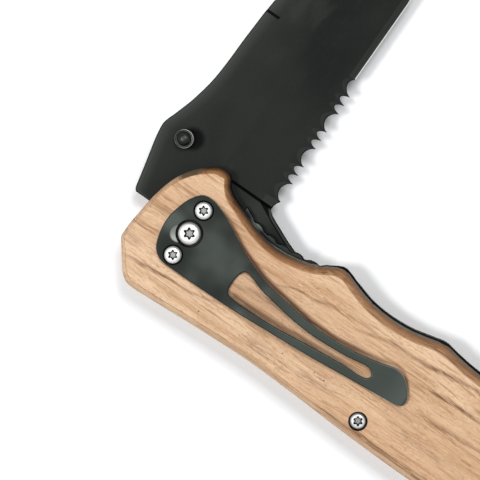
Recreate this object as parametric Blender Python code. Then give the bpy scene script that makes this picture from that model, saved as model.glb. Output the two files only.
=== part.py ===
"""Liner-lock folding knife, half open, lying on its far side.

Metres, +Z up. The blade turns about the Z axis through the origin, and the far side's flat
face lies on Z = 0. The handle runs along +X to its tail with its back to -Y. The blade
stands along +Y with its edge to +X: turning it by +90 degrees opens it, by -90 shuts it.
"""

import math

import bmesh
import bpy
from mathutils import Vector

MM = 0.001
DEGREE = math.pi / 180.0

# Stack of plates, from the far face up
scale_thickness = 4.2 * MM
liner_thickness = 1.4 * MM
blade_thickness = 3.0 * MM
washer_thickness = 0.35 * MM
seat_gap = 0.03 * MM

# Handle plates
handle_length = 120.8 * MM
handle_width = 36.5 * MM
nose_reach = 13.4 * MM
belly_bevel_width = 1.9 * MM
back_bevel_width = 1.4 * MM
end_bevel_width = 0.9 * MM
bevel_depth = 2.2 * MM
liner_proud = 0.35 * MM
outline_steps = 3

# Handle outline: shares of the length from the nose, and of the width from the back
handle_shares = [
    (0.000, 0.272), (0.001, 0.239), (0.020, 0.151), (0.038, 0.071), (0.047, 0.038),
    (0.063, 0.005), (0.081, 0.000), (0.101, 0.003), (0.171, 0.017), (0.250, 0.032),
    (0.349, 0.044), (0.449, 0.038), (0.548, 0.025), (0.647, 0.015), (0.747, 0.012),
    (0.846, 0.012), (0.925, 0.035), (0.973, 0.120), (0.997, 0.265), (1.000, 0.449),
    (0.991, 0.647), (0.965, 0.791), (0.922, 0.870), (0.866, 0.870), (0.796, 0.840),
    (0.727, 0.847), (0.687, 0.863), (0.659, 0.877), (0.631, 0.857), (0.588, 0.824),
    (0.536, 0.811), (0.488, 0.824), (0.445, 0.862), (0.421, 0.890), (0.403, 0.900),
    (0.385, 0.874), (0.353, 0.814), (0.314, 0.778), (0.270, 0.762), (0.222, 0.785),
    (0.175, 0.837), (0.139, 0.883), (0.123, 0.923), (0.113, 0.975), (0.096, 0.992),
    (0.079, 0.977), (0.063, 0.935), (0.045, 0.865), (0.027, 0.759), (0.014, 0.614),
    (0.007, 0.437), (0.002, 0.344),
]

# Pivot: what goes round the barrel or inside it is measured from the barrel
barrel_radius = 2.5 * MM
barrel_wall = 0.9 * MM
barrel_head_lip = 1.5 * MM
barrel_head_height = 1.4 * MM
barrel_head_chamfer = 0.15 * MM
barrel_top_drop = 0.4 * MM
pivot_thread_clearance = 0.15 * MM
pivot_shank_length = 6.5 * MM
pivot_head_lip = 0.45 * MM
pivot_head_height = 1.7 * MM
blade_bore_clearance = 0.1 * MM
fixed_clearance = 0.05 * MM
washer_band = 2.4 * MM

# Stop pin
stop_pin_radius = 2.4 * MM
stop_pin_forward = 1.9 * MM
stop_pin_chamfer = 0.15 * MM
stop_gap = 0.09 * MM
tang_clearance = 0.24 * MM

# Screws
clip_screw_pitch = 12.9 * MM
clip_screw_setback = 0.3 * MM
body_screw_inset = 4.4 * MM
middle_screw_reach = 59.0 * MM
rear_screw_reach = 93.0 * MM
small_shank_radius = 1.1 * MM
clip_head_radius = 2.25 * MM
clip_head_height = 1.3 * MM
clip_head_clearance = 0.35 * MM
clip_counterbore_depth = 0.7 * MM
body_head_radius = 1.9 * MM
body_head_height = 1.4 * MM
body_head_clearance = 0.35 * MM
body_head_drop = 0.35 * MM
shank_clearance = 0.1 * MM
thread_end_gap = 0.25 * MM
recess_reach_share = 0.47
recess_depth_share = 0.65
recess_wave_share = 0.14
head_flat_share = 0.72
head_shoulder_share = 0.55
lobe_count = 6

# Backspacer, which clears the shut blade's edge and begins behind its serrations
spacer_lead = 1.8 * MM
spacer_end = 102.0 * MM
spacer_width = 6.45 * MM
spacer_inset = 0.7 * MM
spacer_edge_clearance = 0.35 * MM

# Lock bar, its slot and its jimping
lock_gap = 0.15 * MM
lock_bar_root = 46.0 * MM
lock_bar_low = 2.6 * MM
lock_slot_width = 0.7 * MM
relief_radius = 1.5 * MM
jimping_proud = 1.7 * MM
jimping_proud_shares = [(0.00, 0.76), (0.25, 0.88), (0.55, 1.00), (0.80, 0.66), (1.00, 0.30)]
jimping_start = 9.0 * MM
jimping_end = 32.5 * MM
jimping_depth = 0.7 * MM
jimping_count = 7
jimping_points = 8
detent_radius = 0.8 * MM
detent_proud = 0.38 * MM
detent_setback = 2.15 * MM
detent_rise = 2.1 * MM
detent_hole_radius = 0.6 * MM
detent_hole_depth = 0.8 * MM

# Thumb cut-out in the far plates, opposite the jimping
cutout_centre = 22.0 * MM
cutout_half_length = 11.5 * MM
cutout_depth = 1.7 * MM
cutout_height = 9.0 * MM

# Blade
blade_length = 97.0 * MM
spine_height = 21.0 * MM
edge_depth = 11.3 * MM
ricasso_length = 15.7 * MM
plunge_run = 0.6 * MM
grind_line_above = 2.7 * MM
edge_bevel_width = 1.8 * MM
edge_bevel_half = 0.33 * MM
edge_half = 0.1 * MM
tip_half = 0.45 * MM
belly_start = 75.0 * MM
spine_shares = [
    (0.010, 0.823), (0.047, 0.861), (0.097, 0.913), (0.147, 0.969), (0.182, 1.000),
    (0.197, 0.988), (0.222, 0.948), (0.247, 0.911), (0.272, 0.876), (0.297, 0.850),
    (0.322, 0.826), (0.347, 0.809), (0.372, 0.798), (0.422, 0.788), (0.472, 0.784),
    (0.522, 0.774), (0.562, 0.766), (0.597, 0.753), (0.660, 0.710), (0.742, 0.619),
    (0.825, 0.495), (0.907, 0.329), (0.959, 0.186), (1.000, 0.010),
]
swedge_start = 54.5 * MM
swedge_width = 3.7 * MM
swedge_half = 0.6 * MM
swedge_line_shares = [(0.562, 0.590), (0.640, 0.490), (0.773, 0.352), (0.907, 0.205), (1.000, 0.006)]
grind_line_shares = [(0.162, 1.0), (0.773, 1.0), (0.907, 0.74), (1.000, 0.02)]
ricasso_station_shares = [0.0, 0.5]
tip_station_shares = [
    0.620, 0.660, 0.700, 0.740, 0.773, 0.800, 0.830, 0.860, 0.890, 0.920, 0.945, 0.965, 0.982, 0.993,
]

# Serrations: one wide and two narrow scallops, repeated, then a last wide one
serration_start = 18.6 * MM
first_tooth_rise = 1.95 * MM
last_tooth_rise = 1.05 * MM
wide_scallop = 5.25 * MM
narrow_scallop = 2.45 * MM
last_scallop = 4.3 * MM
wide_scallop_depth = 1.75 * MM
narrow_scallop_depth = 1.35 * MM
scallop_groups = 3
scallop_points = 6
flute_reach = 0.9 * MM
flute_root = 0.5 * MM
choil_depth = 1.3 * MM

# Tang and flipper tab
tang_radius = 10.7 * MM
lock_face_behind = 7.3 * MM
lock_notch_side = 1.8 * MM
shoulder_depth = 17.2 * MM
shoulder_corner = 0.5 * MM
flipper_reach = 25.3 * MM
flipper_shares = [
    (0.940, 0.546), (0.909, 0.585), (0.832, 0.695), (0.755, 0.805), (0.692, 0.911),
    (0.656, 0.972), (0.610, 0.996), (0.550, 0.998), (0.495, 0.978), (0.455, 0.925),
    (0.395, 0.771), (0.325, 0.640),
]
closed_stop_top_share = 0.575

# Thumb stud
stud_along = 17.8 * MM
stud_above = 14.4 * MM
stud_bore_radius = 1.4 * MM
stud_shank_clearance = 0.2 * MM
stud_base_radius = 2.5 * MM
stud_neck_radius = 1.95 * MM
stud_rim_radius = 2.35 * MM
stud_dome_radius = 1.55 * MM
stud_base_height = 0.8 * MM
stud_neck_height = 0.5 * MM
stud_rim_height = 0.9 * MM
stud_dome_height = 0.7 * MM
stud_socket_depth = 1.6 * MM
stud_chamfer = 0.15 * MM

# Pocket clip: outline and slot as shares of its length from its front, and of its width
clip_thickness = 1.2 * MM
clip_length = 72.2 * MM
clip_width = 19.2 * MM
clip_front = 6.45 * MM
clip_rim = 0.22 * MM
clip_pivot_clearance = 0.28 * MM
dimple_radius = 2.3 * MM
dimple_depth = 0.35 * MM
dimple_offset = 2.6 * MM
dimple_turn = 215.0 * DEGREE
dimple_depth_shares = [(0.0, 1.0), (0.4, 0.84), (0.7, 0.51), (1.0, 0.0)]
crease_tolerance = 0.001 * MM
clip_shares = [
    (0.000, 0.000), (0.006, -0.200), (0.026, -0.388), (0.059, -0.475), (0.122, -0.490),
    (0.222, -0.487), (0.355, -0.472), (0.488, -0.438), (0.654, -0.394), (0.820, -0.331),
    (0.927, -0.294), (0.968, -0.279), (0.986, -0.262), (0.996, -0.232), (0.999, -0.160),
    (0.984, -0.050), (0.953, 0.056), (0.935, 0.090), (0.905, 0.102), (0.860, 0.055),
    (0.771, -0.015), (0.671, -0.050), (0.588, -0.045), (0.488, 0.000), (0.388, 0.062),
    (0.322, 0.137), (0.255, 0.244), (0.189, 0.375), (0.139, 0.462), (0.089, 0.512),
    (0.053, 0.495), (0.021, 0.369), (0.004, 0.188),
]
slot_shares = [
    (0.303, -0.070), (0.302, -0.265), (0.309, -0.330), (0.330, -0.357), (0.388, -0.357),
    (0.488, -0.342), (0.621, -0.287), (0.754, -0.237), (0.827, -0.229), (0.848, -0.204),
    (0.855, -0.160), (0.846, -0.108), (0.827, -0.085), (0.754, -0.125), (0.638, -0.158),
    (0.554, -0.150), (0.455, -0.100), (0.388, -0.056), (0.330, 0.010), (0.314, 0.000),
]
clip_lift = 1.1 * MM
clip_bend_shares = [
    (0.265, 0.00), (0.300, 0.06), (0.340, 0.30), (0.390, 0.70), (0.440, 0.95),
    (0.500, 1.00), (0.600, 0.88), (0.700, 0.60), (0.800, 0.28), (0.880, 0.10),
    (0.920, 0.10), (0.950, 0.24), (0.980, 0.52),
]

# Roundness of the turned pieces, and the length that every cut runs past its faces
soft_angle = 40.0 * DEGREE
round_sides = 32
small_sides = 20
hole_sides = 12
lobe_points = 24
overrun = 0.5 * MM

# Radii and places of what fits the pivot, the lock and the screws
barrel_bore_radius = barrel_radius - barrel_wall
barrel_head_radius = barrel_radius + barrel_head_lip
pivot_shank_radius = barrel_bore_radius - pivot_thread_clearance
pivot_head_radius = barrel_radius + pivot_head_lip
blade_bore_radius = barrel_radius + blade_bore_clearance
washer_radius = blade_bore_radius + washer_band
stop_pin_distance = tang_radius + tang_clearance + stop_pin_radius
spacer_inner = edge_depth + spacer_edge_clearance
pivot_above_back = spacer_inner + spacer_width + spacer_inset
lock_bar_front = lock_face_behind + lock_gap
detent_forward = lock_bar_front + detent_setback
detent_above = lock_bar_low + detent_rise
clip_counterbore_radius = clip_head_radius + clip_head_clearance
body_counterbore_radius = body_head_radius + body_head_clearance
body_counterbore_depth = body_head_height + body_head_drop
stud_shank_radius = stud_bore_radius - stud_shank_clearance

# Heights of the plates' faces
far_liner_low = scale_thickness + seat_gap
far_liner_high = far_liner_low + liner_thickness
far_washer_low = far_liner_high + seat_gap
blade_low = far_washer_low + washer_thickness + seat_gap
blade_high = blade_low + blade_thickness
near_washer_low = blade_high + seat_gap
near_liner_low = near_washer_low + washer_thickness + seat_gap
near_liner_high = near_liner_low + liner_thickness
near_scale_low = near_liner_high + seat_gap
near_scale_high = near_scale_low + scale_thickness
clip_low = near_scale_high + seat_gap
clip_high = clip_low + clip_thickness


def clear_scene():
    """Remove every object, so that the file holds the knife alone."""
    for item in list(bpy.data.objects):
        bpy.data.objects.remove(item, do_unlink=True)


def make_material(name, colour, roughness, metallic):
    """Return a Principled material of one colour."""
    material = bpy.data.materials.new(name)
    material.use_nodes = True
    shader = material.node_tree.nodes["Principled BSDF"]
    shader.inputs["Base Color"].default_value = (*colour, 1.0)
    shader.inputs["Roughness"].default_value = roughness
    shader.inputs["Metallic"].default_value = metallic
    return material


def add_object(name, mesh, material, smooth_angle=None):
    """Link a mesh into the scene as one named piece."""
    if material is not None and not mesh.materials:
        mesh.materials.append(material)
    if smooth_angle is not None:
        mesh.shade_smooth()
        mesh.set_sharp_from_angle(angle=smooth_angle)
    piece = bpy.data.objects.new(name, mesh)
    bpy.context.scene.collection.objects.link(piece)
    return piece


def mesh_from(bm, name):
    """Point the faces outward and turn the bmesh into a mesh."""
    bmesh.ops.recalc_face_normals(bm, faces=bm.faces)
    mesh = bpy.data.meshes.new(name)
    bm.to_mesh(mesh)
    bm.free()
    return mesh


def loft_mesh(name, rings):
    """Join equal rings of points into one closed skin, with a flat cap at each end."""
    bm = bmesh.new()
    loops = [[bm.verts.new(point) for point in ring] for ring in rings]
    count = len(rings[0])
    for lower, upper in zip(loops, loops[1:]):
        for i in range(count):
            j = (i + 1) % count
            bm.faces.new((lower[i], lower[j], upper[j], upper[i]))
    bm.faces.new(list(reversed(loops[0])))
    bm.faces.new(loops[-1])
    return mesh_from(bm, name)


def raised(outline, height):
    """Lift a flat outline to a height."""
    return [(point.x, point.y, height) for point in outline]


def prism_mesh(name, outline, low, high):
    """Extrude a flat outline between two heights."""
    return loft_mesh(name, [raised(outline, low), raised(outline, high)])


def turned_mesh(name, profile, sides):
    """Spin a profile of (radius, height) pairs about Z; it starts and ends on the axis."""
    bm = bmesh.new()
    loops = []
    for radius, height in profile:
        if radius == 0:
            loops.append([bm.verts.new((0, 0, height))])
            continue
        turns = (2 * math.pi * i / sides for i in range(sides))
        ring = [bm.verts.new((radius * math.cos(t), radius * math.sin(t), height)) for t in turns]
        loops.append(ring)
    for lower, upper in zip(loops, loops[1:]):
        for i in range(sides):
            j = (i + 1) % sides
            corners = [lower[i % len(lower)], lower[j % len(lower)]]
            corners += [upper[j % len(upper)], upper[i % len(upper)]]
            unique = list(dict.fromkeys(corners))
            bm.faces.new(unique)
    return mesh_from(bm, name)


def tube_mesh(name, outer, inner, low, high, sides):
    """Make a plain ring about Z."""
    bm = bmesh.new()
    loops = []
    for radius, height in ((outer, low), (outer, high), (inner, high), (inner, low)):
        turns = (2 * math.pi * i / sides for i in range(sides))
        ring = [bm.verts.new((radius * math.cos(t), radius * math.sin(t), height)) for t in turns]
        loops.append(ring)
    for lower, upper in zip(loops, loops[1:] + loops[:1]):
        for i in range(sides):
            j = (i + 1) % sides
            bm.faces.new((lower[i], lower[j], upper[j], upper[i]))
    return mesh_from(bm, name)


def circle(radius, centre, sides):
    """Return a circle's points, counter-clockwise."""
    turns = (2 * math.pi * i / sides for i in range(sides))
    return [Vector((centre[0] + radius * math.cos(t), centre[1] + radius * math.sin(t))) for t in turns]


def spline_point(p0, p1, p2, p3, share):
    """Return a point between p1 and p2 on a centripetal Catmull-Rom spline."""
    t1 = math.sqrt((p1 - p0).length)
    t2 = t1 + math.sqrt((p2 - p1).length)
    t3 = t2 + math.sqrt((p3 - p2).length)
    t = t1 + (t2 - t1) * share
    a1 = p0.lerp(p1, t / t1)
    a2 = p1.lerp(p2, (t - t1) / (t2 - t1))
    a3 = p2.lerp(p3, (t - t2) / (t3 - t2))
    b1 = a1.lerp(a2, t / t2)
    b2 = a2.lerp(a3, (t - t1) / (t3 - t1))
    return b1.lerp(b2, (t - t1) / (t2 - t1))


def closed_spline(points, steps):
    """Sample a closed smooth curve through the points."""
    count = len(points)
    samples = []
    for i in range(count):
        p0, p1, p2, p3 = (points[(i + k - 1) % count] for k in range(4))
        samples += [spline_point(p0, p1, p2, p3, k / steps) for k in range(steps)]
    return samples


def outward_normals(points):
    """Return the outward direction at each point of a counter-clockwise loop."""
    count = len(points)
    normals = []
    for i in range(count):
        before = (points[i] - points[i - 1]).normalized()
        after = (points[(i + 1) % count] - points[i]).normalized()
        along = (before + after).normalized()
        normals.append(Vector((along.y, -along.x)))
    return normals


def offset_points(points, distance):
    """Move the points of a counter-clockwise loop outward."""
    return [point + normal * distance for point, normal in zip(points, outward_normals(points))]


def table_value(table, place):
    """Read a table of (place, value) pairs as a smooth curve."""
    last = len(table) - 1
    if place <= table[0][0]:
        return table[0][1]
    if place >= table[last][0]:
        return table[last][1]
    i = max(k for k in range(last) if table[k][0] <= place)
    width = table[i + 1][0] - table[i][0]
    share = (place - table[i][0]) / width

    def slope(k):
        """Return the curve's slope at an entry, from its neighbours."""
        left = max(k - 1, 0)
        right = min(k + 1, last)
        return (table[right][1] - table[left][1]) / (table[right][0] - table[left][0])

    square = share * share
    cube = square * share
    value = (2 * cube - 3 * square + 1) * table[i][1] + (3 * square - 2 * cube) * table[i + 1][1]
    value += (cube - 2 * square + share) * width * slope(i)
    value += (cube - square) * width * slope(i + 1)
    return value


def subtract(piece, cutter):
    """Cut one object from another with a Boolean modifier."""
    cutter.hide_render = True
    cutter.display_type = "WIRE"
    modifier = piece.modifiers.new(cutter.name, "BOOLEAN")
    modifier.operation = "DIFFERENCE"
    modifier.solver = "EXACT"
    modifier.object = cutter
    return cutter


def bore(piece, label, centre, radius, low, high, sides=hole_sides):
    """Cut a round hole between two heights."""
    outline = circle(radius, centre, sides)
    mesh = prism_mesh(f"cut_{label}", outline, low, high)
    return subtract(piece, add_object(f"cut_{piece.name}_{label}", mesh, None))


def settle(piece):
    """Make a piece's modifiers part of its mesh, and remove what cut it."""
    cutters = [modifier.object for modifier in piece.modifiers]
    depsgraph = bpy.context.evaluated_depsgraph_get()
    mesh = bpy.data.meshes.new_from_object(piece.evaluated_get(depsgraph))
    piece.modifiers.clear()
    piece.data = mesh
    for cutter in cutters:
        bpy.data.objects.remove(cutter, do_unlink=True)
    return mesh


def handle_points():
    """Return the control points of the wooden plates' outline."""
    return [Vector((along * handle_length - nose_reach, across * handle_width - pivot_above_back))
            for along, across in handle_shares]


def handle_outline(offset=0):
    """Return the handle's outline, moved outward by an offset."""
    return closed_spline(offset_points(handle_points(), offset), outline_steps)


def bevelled_outline():
    """Return the edge of a wooden plate's flat face, where the bevel along its rim starts."""
    points = handle_points()
    moved = []
    for point, normal in zip(points, outward_normals(points)):
        side = belly_bevel_width if normal.y > 0 else back_bevel_width
        width = side * normal.y ** 2 + end_bevel_width * normal.x ** 2
        moved.append(point - normal * width)
    return closed_spline(moved, outline_steps)


def edges_at(outline, place):
    """Return the outline's lowest and highest Y at a place along the handle."""
    reach = []
    for start, end in zip(outline, outline[1:] + outline[:1]):
        if min(start.x, end.x) <= place <= max(start.x, end.x) and start.x != end.x:
            reach.append(start.lerp(end, (place - start.x) / (end.x - start.x)).y)
    return min(reach), max(reach)


def clip_screw_places():
    """Return the two places beside the pivot where screws stand on both sides."""
    half = clip_screw_pitch / 2
    return {"front": (-clip_screw_setback, half), "back": (-clip_screw_setback, -half)}


def body_screw_places():
    """Return the two places along the back where screws stand on both sides."""
    outline = handle_outline()
    reaches = {"middle": middle_screw_reach, "rear": rear_screw_reach}
    return {label: (reach, edges_at(outline, reach)[0] + body_screw_inset)
            for label, reach in reaches.items()}


def add_scale(name, material, near):
    """Make one wooden plate, its outer face smaller by the bevel."""
    wide = handle_outline()
    narrow = bevelled_outline()
    if near:
        low = near_scale_low
        high = near_scale_high
        rings = [raised(wide, low), raised(wide, high - bevel_depth), raised(narrow, high)]
    else:
        low = 0
        rings = [raised(narrow, 0), raised(wide, bevel_depth), raised(wide, scale_thickness)]
    scale = add_object(name, loft_mesh(name, rings), material)
    bottom = low - overrun
    top = low + scale_thickness + overrun
    bore(scale, "pivot", (0, 0), barrel_radius + fixed_clearance, bottom, top, round_sides)
    places = body_screw_places()
    if not near:
        places.update(clip_screw_places())
        bore(scale, "pivot_head", (0, 0), barrel_head_radius + fixed_clearance,
             bottom, barrel_head_height + seat_gap, round_sides)
    for label, centre in {**clip_screw_places(), **body_screw_places()}.items():
        bore(scale, label, centre, small_shank_radius + shank_clearance, bottom, top)
    for label, centre in places.items():
        if near:
            bore(scale, f"{label}_head", centre, body_counterbore_radius,
                 near_scale_high - body_counterbore_depth, top, small_sides)
        else:
            bore(scale, f"{label}_head", centre, body_counterbore_radius,
                 bottom, body_counterbore_depth, small_sides)
    return scale


def add_cutout(piece, low, high):
    """Cut the thumb's opening in a far plate's belly edge."""
    floor = edges_at(handle_outline(), cutout_centre)[1] - cutout_depth
    outline = [Vector((cutout_centre + side * cutout_half_length, handle_width)) for side in (1, -1)]
    for i in range(small_sides + 1):
        turn = math.pi * (1 + i / small_sides)
        outline.append(Vector((cutout_centre + cutout_half_length * math.cos(turn),
                               floor + cutout_height * (1 + math.sin(turn)))))
    mesh = prism_mesh("cut_thumb", outline, low - overrun, high + overrun)
    subtract(piece, add_object(f"cut_{piece.name}_thumb", mesh, None))


def add_liner(name, material, low):
    """Make one steel liner with the holes that both liners have."""
    high = low + liner_thickness
    mesh = prism_mesh(name, handle_outline(liner_proud), low, high)
    liner = add_object(name, mesh, material)
    bottom = low - overrun
    top = high + overrun
    bore(liner, "pivot", (0, 0), barrel_radius + fixed_clearance, bottom, top, round_sides)
    bore(liner, "stop", stop_place(), stop_pin_radius + fixed_clearance, bottom, top, small_sides)
    for label, centre in {**clip_screw_places(), **body_screw_places()}.items():
        bore(liner, label, centre, small_shank_radius + shank_clearance, bottom, top)
    return liner


def stop_place():
    """Return the stop pin's place, just clear of the round tang."""
    return (stop_pin_forward, -math.sqrt(stop_pin_distance ** 2 - stop_pin_forward ** 2))


def cut_lock_slot(liner):
    """Free the lock bar's space in its liner, with a round relief at the root."""
    left = lock_bar_front - lock_slot_width
    low = lock_bar_low - lock_slot_width
    top = handle_width
    corners = [(left, low), (lock_bar_root, low), (lock_bar_root, top), (left, top)]
    outline = [Vector(corner) for corner in corners]
    bottom = near_liner_low - overrun
    ceiling = near_liner_high + overrun
    mesh = prism_mesh("cut_slot", outline, bottom, ceiling)
    subtract(liner, add_object("cut_lock_slot", mesh, None))
    bore(liner, "relief", (lock_bar_root, low), relief_radius, bottom, ceiling)


def lock_bar_outline():
    """Return the lock bar's outline: belly edge with thumb notches, front face and slot edge."""
    wood = handle_outline()
    root = lock_bar_root - seat_gap
    pitch = (jimping_end - jimping_start) / jimping_count
    places = [lock_bar_front, jimping_start]
    notch_steps = jimping_count * jimping_points
    places += [jimping_start + pitch * (i + 1) / jimping_points for i in range(notch_steps)]
    tail_steps = jimping_points
    places += [jimping_end + (root - jimping_end) * (i + 1) / tail_steps for i in range(tail_steps)]
    edge = []
    for place in places:
        share = (place - jimping_start) / (jimping_end - jimping_start)
        proud = jimping_proud * table_value(jimping_proud_shares, share)
        taper = min(max((place - jimping_end) / pitch, 0), 1)
        proud += (liner_proud - proud) * taper
        notch = 0
        if jimping_start < place < jimping_end:
            wave = math.sin(math.pi * (place - jimping_start) / pitch)
            notch = jimping_depth * wave * wave
        edge.append(Vector((place, edges_at(wood, place)[1] + proud - notch)))
    low = lock_bar_low
    return [Vector((lock_bar_front, low)), Vector((root - relief_radius, low)),
            Vector((root, low + relief_radius))] + list(reversed(edge))


def add_lock_bar(material):
    """Make the lock bar with the hole that its ball sits in."""
    mesh = prism_mesh("lock_bar", lock_bar_outline(), near_liner_low, near_liner_high)
    bar = add_object("lock_bar", mesh, material)
    bore(bar, "ball", (detent_forward, detent_above), detent_radius + fixed_clearance,
         near_liner_low - overrun, near_liner_high + overrun)
    return bar


def add_detent_ball(material):
    """Make the ball that stands a little out of the lock bar toward the blade."""
    bm = bmesh.new()
    bmesh.ops.create_icosphere(bm, subdivisions=2, radius=detent_radius)
    ball = add_object("detent_ball", mesh_from(bm, "detent_ball"), material, math.pi)
    height = near_liner_low - detent_proud + detent_radius
    ball.location = (detent_forward, detent_above, height)
    return ball


def spine_at(along):
    """Return the spine's height above the pivot axis, at a distance from it."""
    return spine_height * table_value(spine_shares, along / blade_length)


def swedge_at(along):
    """Return the height of the false edge's inner line."""
    if along < swedge_start:
        return spine_at(along) - swedge_width
    return spine_height * table_value(swedge_line_shares, along / blade_length)


def grind_at(along):
    """Return the height of the line where the main bevel starts."""
    return grind_line_above * table_value(grind_line_shares, along / blade_length)


def tooth_line_at(along):
    """Return the depth of the line that the serrations' tips lie on."""
    share = (along - serration_start) / (serration_end() - last_scallop - serration_start)
    return edge_depth + first_tooth_rise + (last_tooth_rise - first_tooth_rise) * share


def serration_end():
    """Return where the plain edge takes over from the serrations."""
    return serration_start + scallop_groups * (wide_scallop + 2 * narrow_scallop) + last_scallop


def plain_edge_at(along):
    """Return the plain edge's depth below the pivot axis, curving up to the point."""
    sweep = max(along - belly_start, 0) / (blade_length - belly_start)
    return edge_depth * (1 - sweep * sweep)


def taper_at(along):
    """Return half the blade's thickness, which thins toward the point."""
    sweep = max(along - belly_start, 0) / (blade_length - belly_start)
    return blade_thickness / 2 + (tip_half - blade_thickness / 2) * sweep


def bevel_face_height(along, depth):
    """Return the main bevel's half thickness at a depth below the pivot axis."""
    half = taper_at(along)
    inner = -grind_at(along)
    outer = plain_edge_at(along) - edge_bevel_width
    outer = max(outer, inner + edge_bevel_width)
    thin = min(edge_bevel_half, half)
    return half + (thin - half) * (depth - inner) / (outer - inner)


def blade_section(along, edge, bevel, near_edge, far_edge):
    """Return the ten corners of one cross-section, from the spine over the near face and back."""
    half = taper_at(along)
    cut = min(max((along - swedge_start) / plunge_run, 0), 1)
    spine_half = half + (min(swedge_half, half) - half) * cut
    bevel_half = bevel_face_height(along, bevel)
    near = [(-spine_at(along), spine_half), (-swedge_at(along), half), (-grind_at(along), half),
            (bevel, bevel_half), (edge, near_edge)]
    far = [(edge, far_edge), (bevel, -bevel_half), (-grind_at(along), -half),
           (-swedge_at(along), -half), (-spine_at(along), -spine_half)]
    return [Vector((across, along, height)) for across, height in near + far]


def plain_section(along):
    """Return a cross-section with the plain edge and its small bevel."""
    edge = plain_edge_at(along)
    bevel = edge - edge_bevel_width * min(1, edge / edge_depth + edge_half / edge_bevel_width)
    near = min(edge_half, taper_at(along))
    return blade_section(along, edge, bevel, near, -near)


def scallop_sections(start, width, depth, last):
    """Return the cross-sections of one scallop, ground from the near face only."""
    sections = []
    for i in range(scallop_points):
        turn = math.pi * i / scallop_points
        along = start + width * (1 - math.cos(turn)) / 2
        line = tooth_line_at(start)
        aim = edge_depth if last else tooth_line_at(start + width)
        line += (aim - line) * (along - start) / width
        sink = math.sin(turn)
        edge = line - depth * sink
        bevel = line - flute_root - (depth + flute_reach) * sink
        floor = -bevel_face_height(along, edge)
        sections.append(blade_section(along, edge, bevel, floor + 2 * edge_half, floor))
    return sections


def blade_sections():
    """Return every cross-section from the plunge line to the point."""
    half = blade_thickness / 2
    base = edge_depth + choil_depth
    bevel = edge_depth - edge_bevel_width
    start = blade_section(ricasso_length, base, bevel, half, -half)
    for corner in start:
        corner.z = math.copysign(half, corner.z)
    sections = [start]
    for share in ricasso_station_shares:
        along = ricasso_length + plunge_run + (serration_start - ricasso_length - plunge_run) * share
        edge = base + (tooth_line_at(serration_start) - base) * share * share
        floor = -bevel_face_height(along, edge)
        sections.append(blade_section(along, edge, bevel, floor + 2 * edge_half, floor))
    place = serration_start
    for _ in range(scallop_groups):
        for width, depth in ((wide_scallop, wide_scallop_depth), (narrow_scallop, narrow_scallop_depth),
                             (narrow_scallop, narrow_scallop_depth)):
            sections += scallop_sections(place, width, depth, False)
            place += width
    sections += scallop_sections(place, last_scallop, wide_scallop_depth, True)
    place = serration_end()
    sections.append(plain_section(place))
    sections += [plain_section(swedge_start), plain_section(swedge_start + plunge_run)]
    sections += [plain_section(share * blade_length) for share in tip_station_shares]
    return sections


def tang_outline():
    """Return the tang's outline from the edge side of the plunge line round to the spine side."""
    shoulder = stop_pin_radius - stop_pin_forward + stop_gap
    closed_stop = stop_pin_forward + stop_pin_radius + stop_gap
    points = [(reach * flipper_reach, along * ricasso_length) for along, reach in flipper_shares]
    points.append((closed_stop_top_share * flipper_reach, closed_stop))
    arc_start = math.acos(closed_stop / tang_radius)
    lock_turn = math.acos(-lock_face_behind / tang_radius)
    notch_turn = math.pi - math.asin(lock_notch_side / tang_radius)
    arc_end = 2 * math.pi - math.acos(shoulder / tang_radius)
    edge_arc_steps = small_sides // 2
    for i in range(edge_arc_steps + 1):
        turn = arc_start + (lock_turn - arc_start) * i / edge_arc_steps
        points.append((tang_radius * math.sin(turn), tang_radius * math.cos(turn)))
    points.append((lock_notch_side, -lock_face_behind))
    for i in range(small_sides + 1):
        turn = notch_turn + (arc_end - notch_turn) * i / small_sides
        points.append((tang_radius * math.sin(turn), tang_radius * math.cos(turn)))
    points.append((-shoulder_depth + shoulder_corner, shoulder))
    points.append((-shoulder_depth, shoulder + shoulder_corner))
    spine = [(along, rise) for along, rise in spine_shares if along * blade_length < ricasso_length]
    points += [(-rise * spine_height, along * blade_length) for along, rise in spine[1:]]
    return [Vector(point) for point in points]


def add_blade(material):
    """Make the blade: a flat tang with its flipper, joined to the ground sections."""
    middle = (blade_low + blade_high) / 2
    half = blade_thickness / 2
    bm = bmesh.new()
    rings = [[bm.verts.new(corner + Vector((0, 0, middle))) for corner in section]
             for section in blade_sections()]
    for lower, upper in zip(rings, rings[1:]):
        for i in range(len(lower)):
            j = (i + 1) % len(lower)
            bm.faces.new((lower[i], lower[j], upper[j], upper[i]))
    bm.faces.new(rings[-1])
    root = rings[0]
    per_side = len(root) // 2
    outline = tang_outline()
    top = [bm.verts.new((point.x, point.y, middle + half)) for point in outline]
    bottom = [bm.verts.new((point.x, point.y, middle - half)) for point in outline]
    bm.faces.new(root[:per_side] + top)
    bm.faces.new(list(reversed(bottom)) + root[per_side:])
    top_loop = [root[per_side - 1]] + top + [root[0]]
    bottom_loop = [root[per_side]] + bottom + [root[-1]]
    for i in range(len(top_loop) - 1):
        bm.faces.new((top_loop[i], top_loop[i + 1], bottom_loop[i + 1], bottom_loop[i]))
    blade = add_object("blade", mesh_from(bm, "blade"), material)
    low = blade_low - overrun
    high = blade_high + overrun
    bore(blade, "pivot", (0, 0), blade_bore_radius, low, high, round_sides)
    bore(blade, "stud", (-stud_above, stud_along), stud_bore_radius, low, high)
    bore(blade, "detent", (-detent_above, detent_forward), detent_hole_radius,
         blade_high - detent_hole_depth, high, lobe_points // 2)
    return blade


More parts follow.
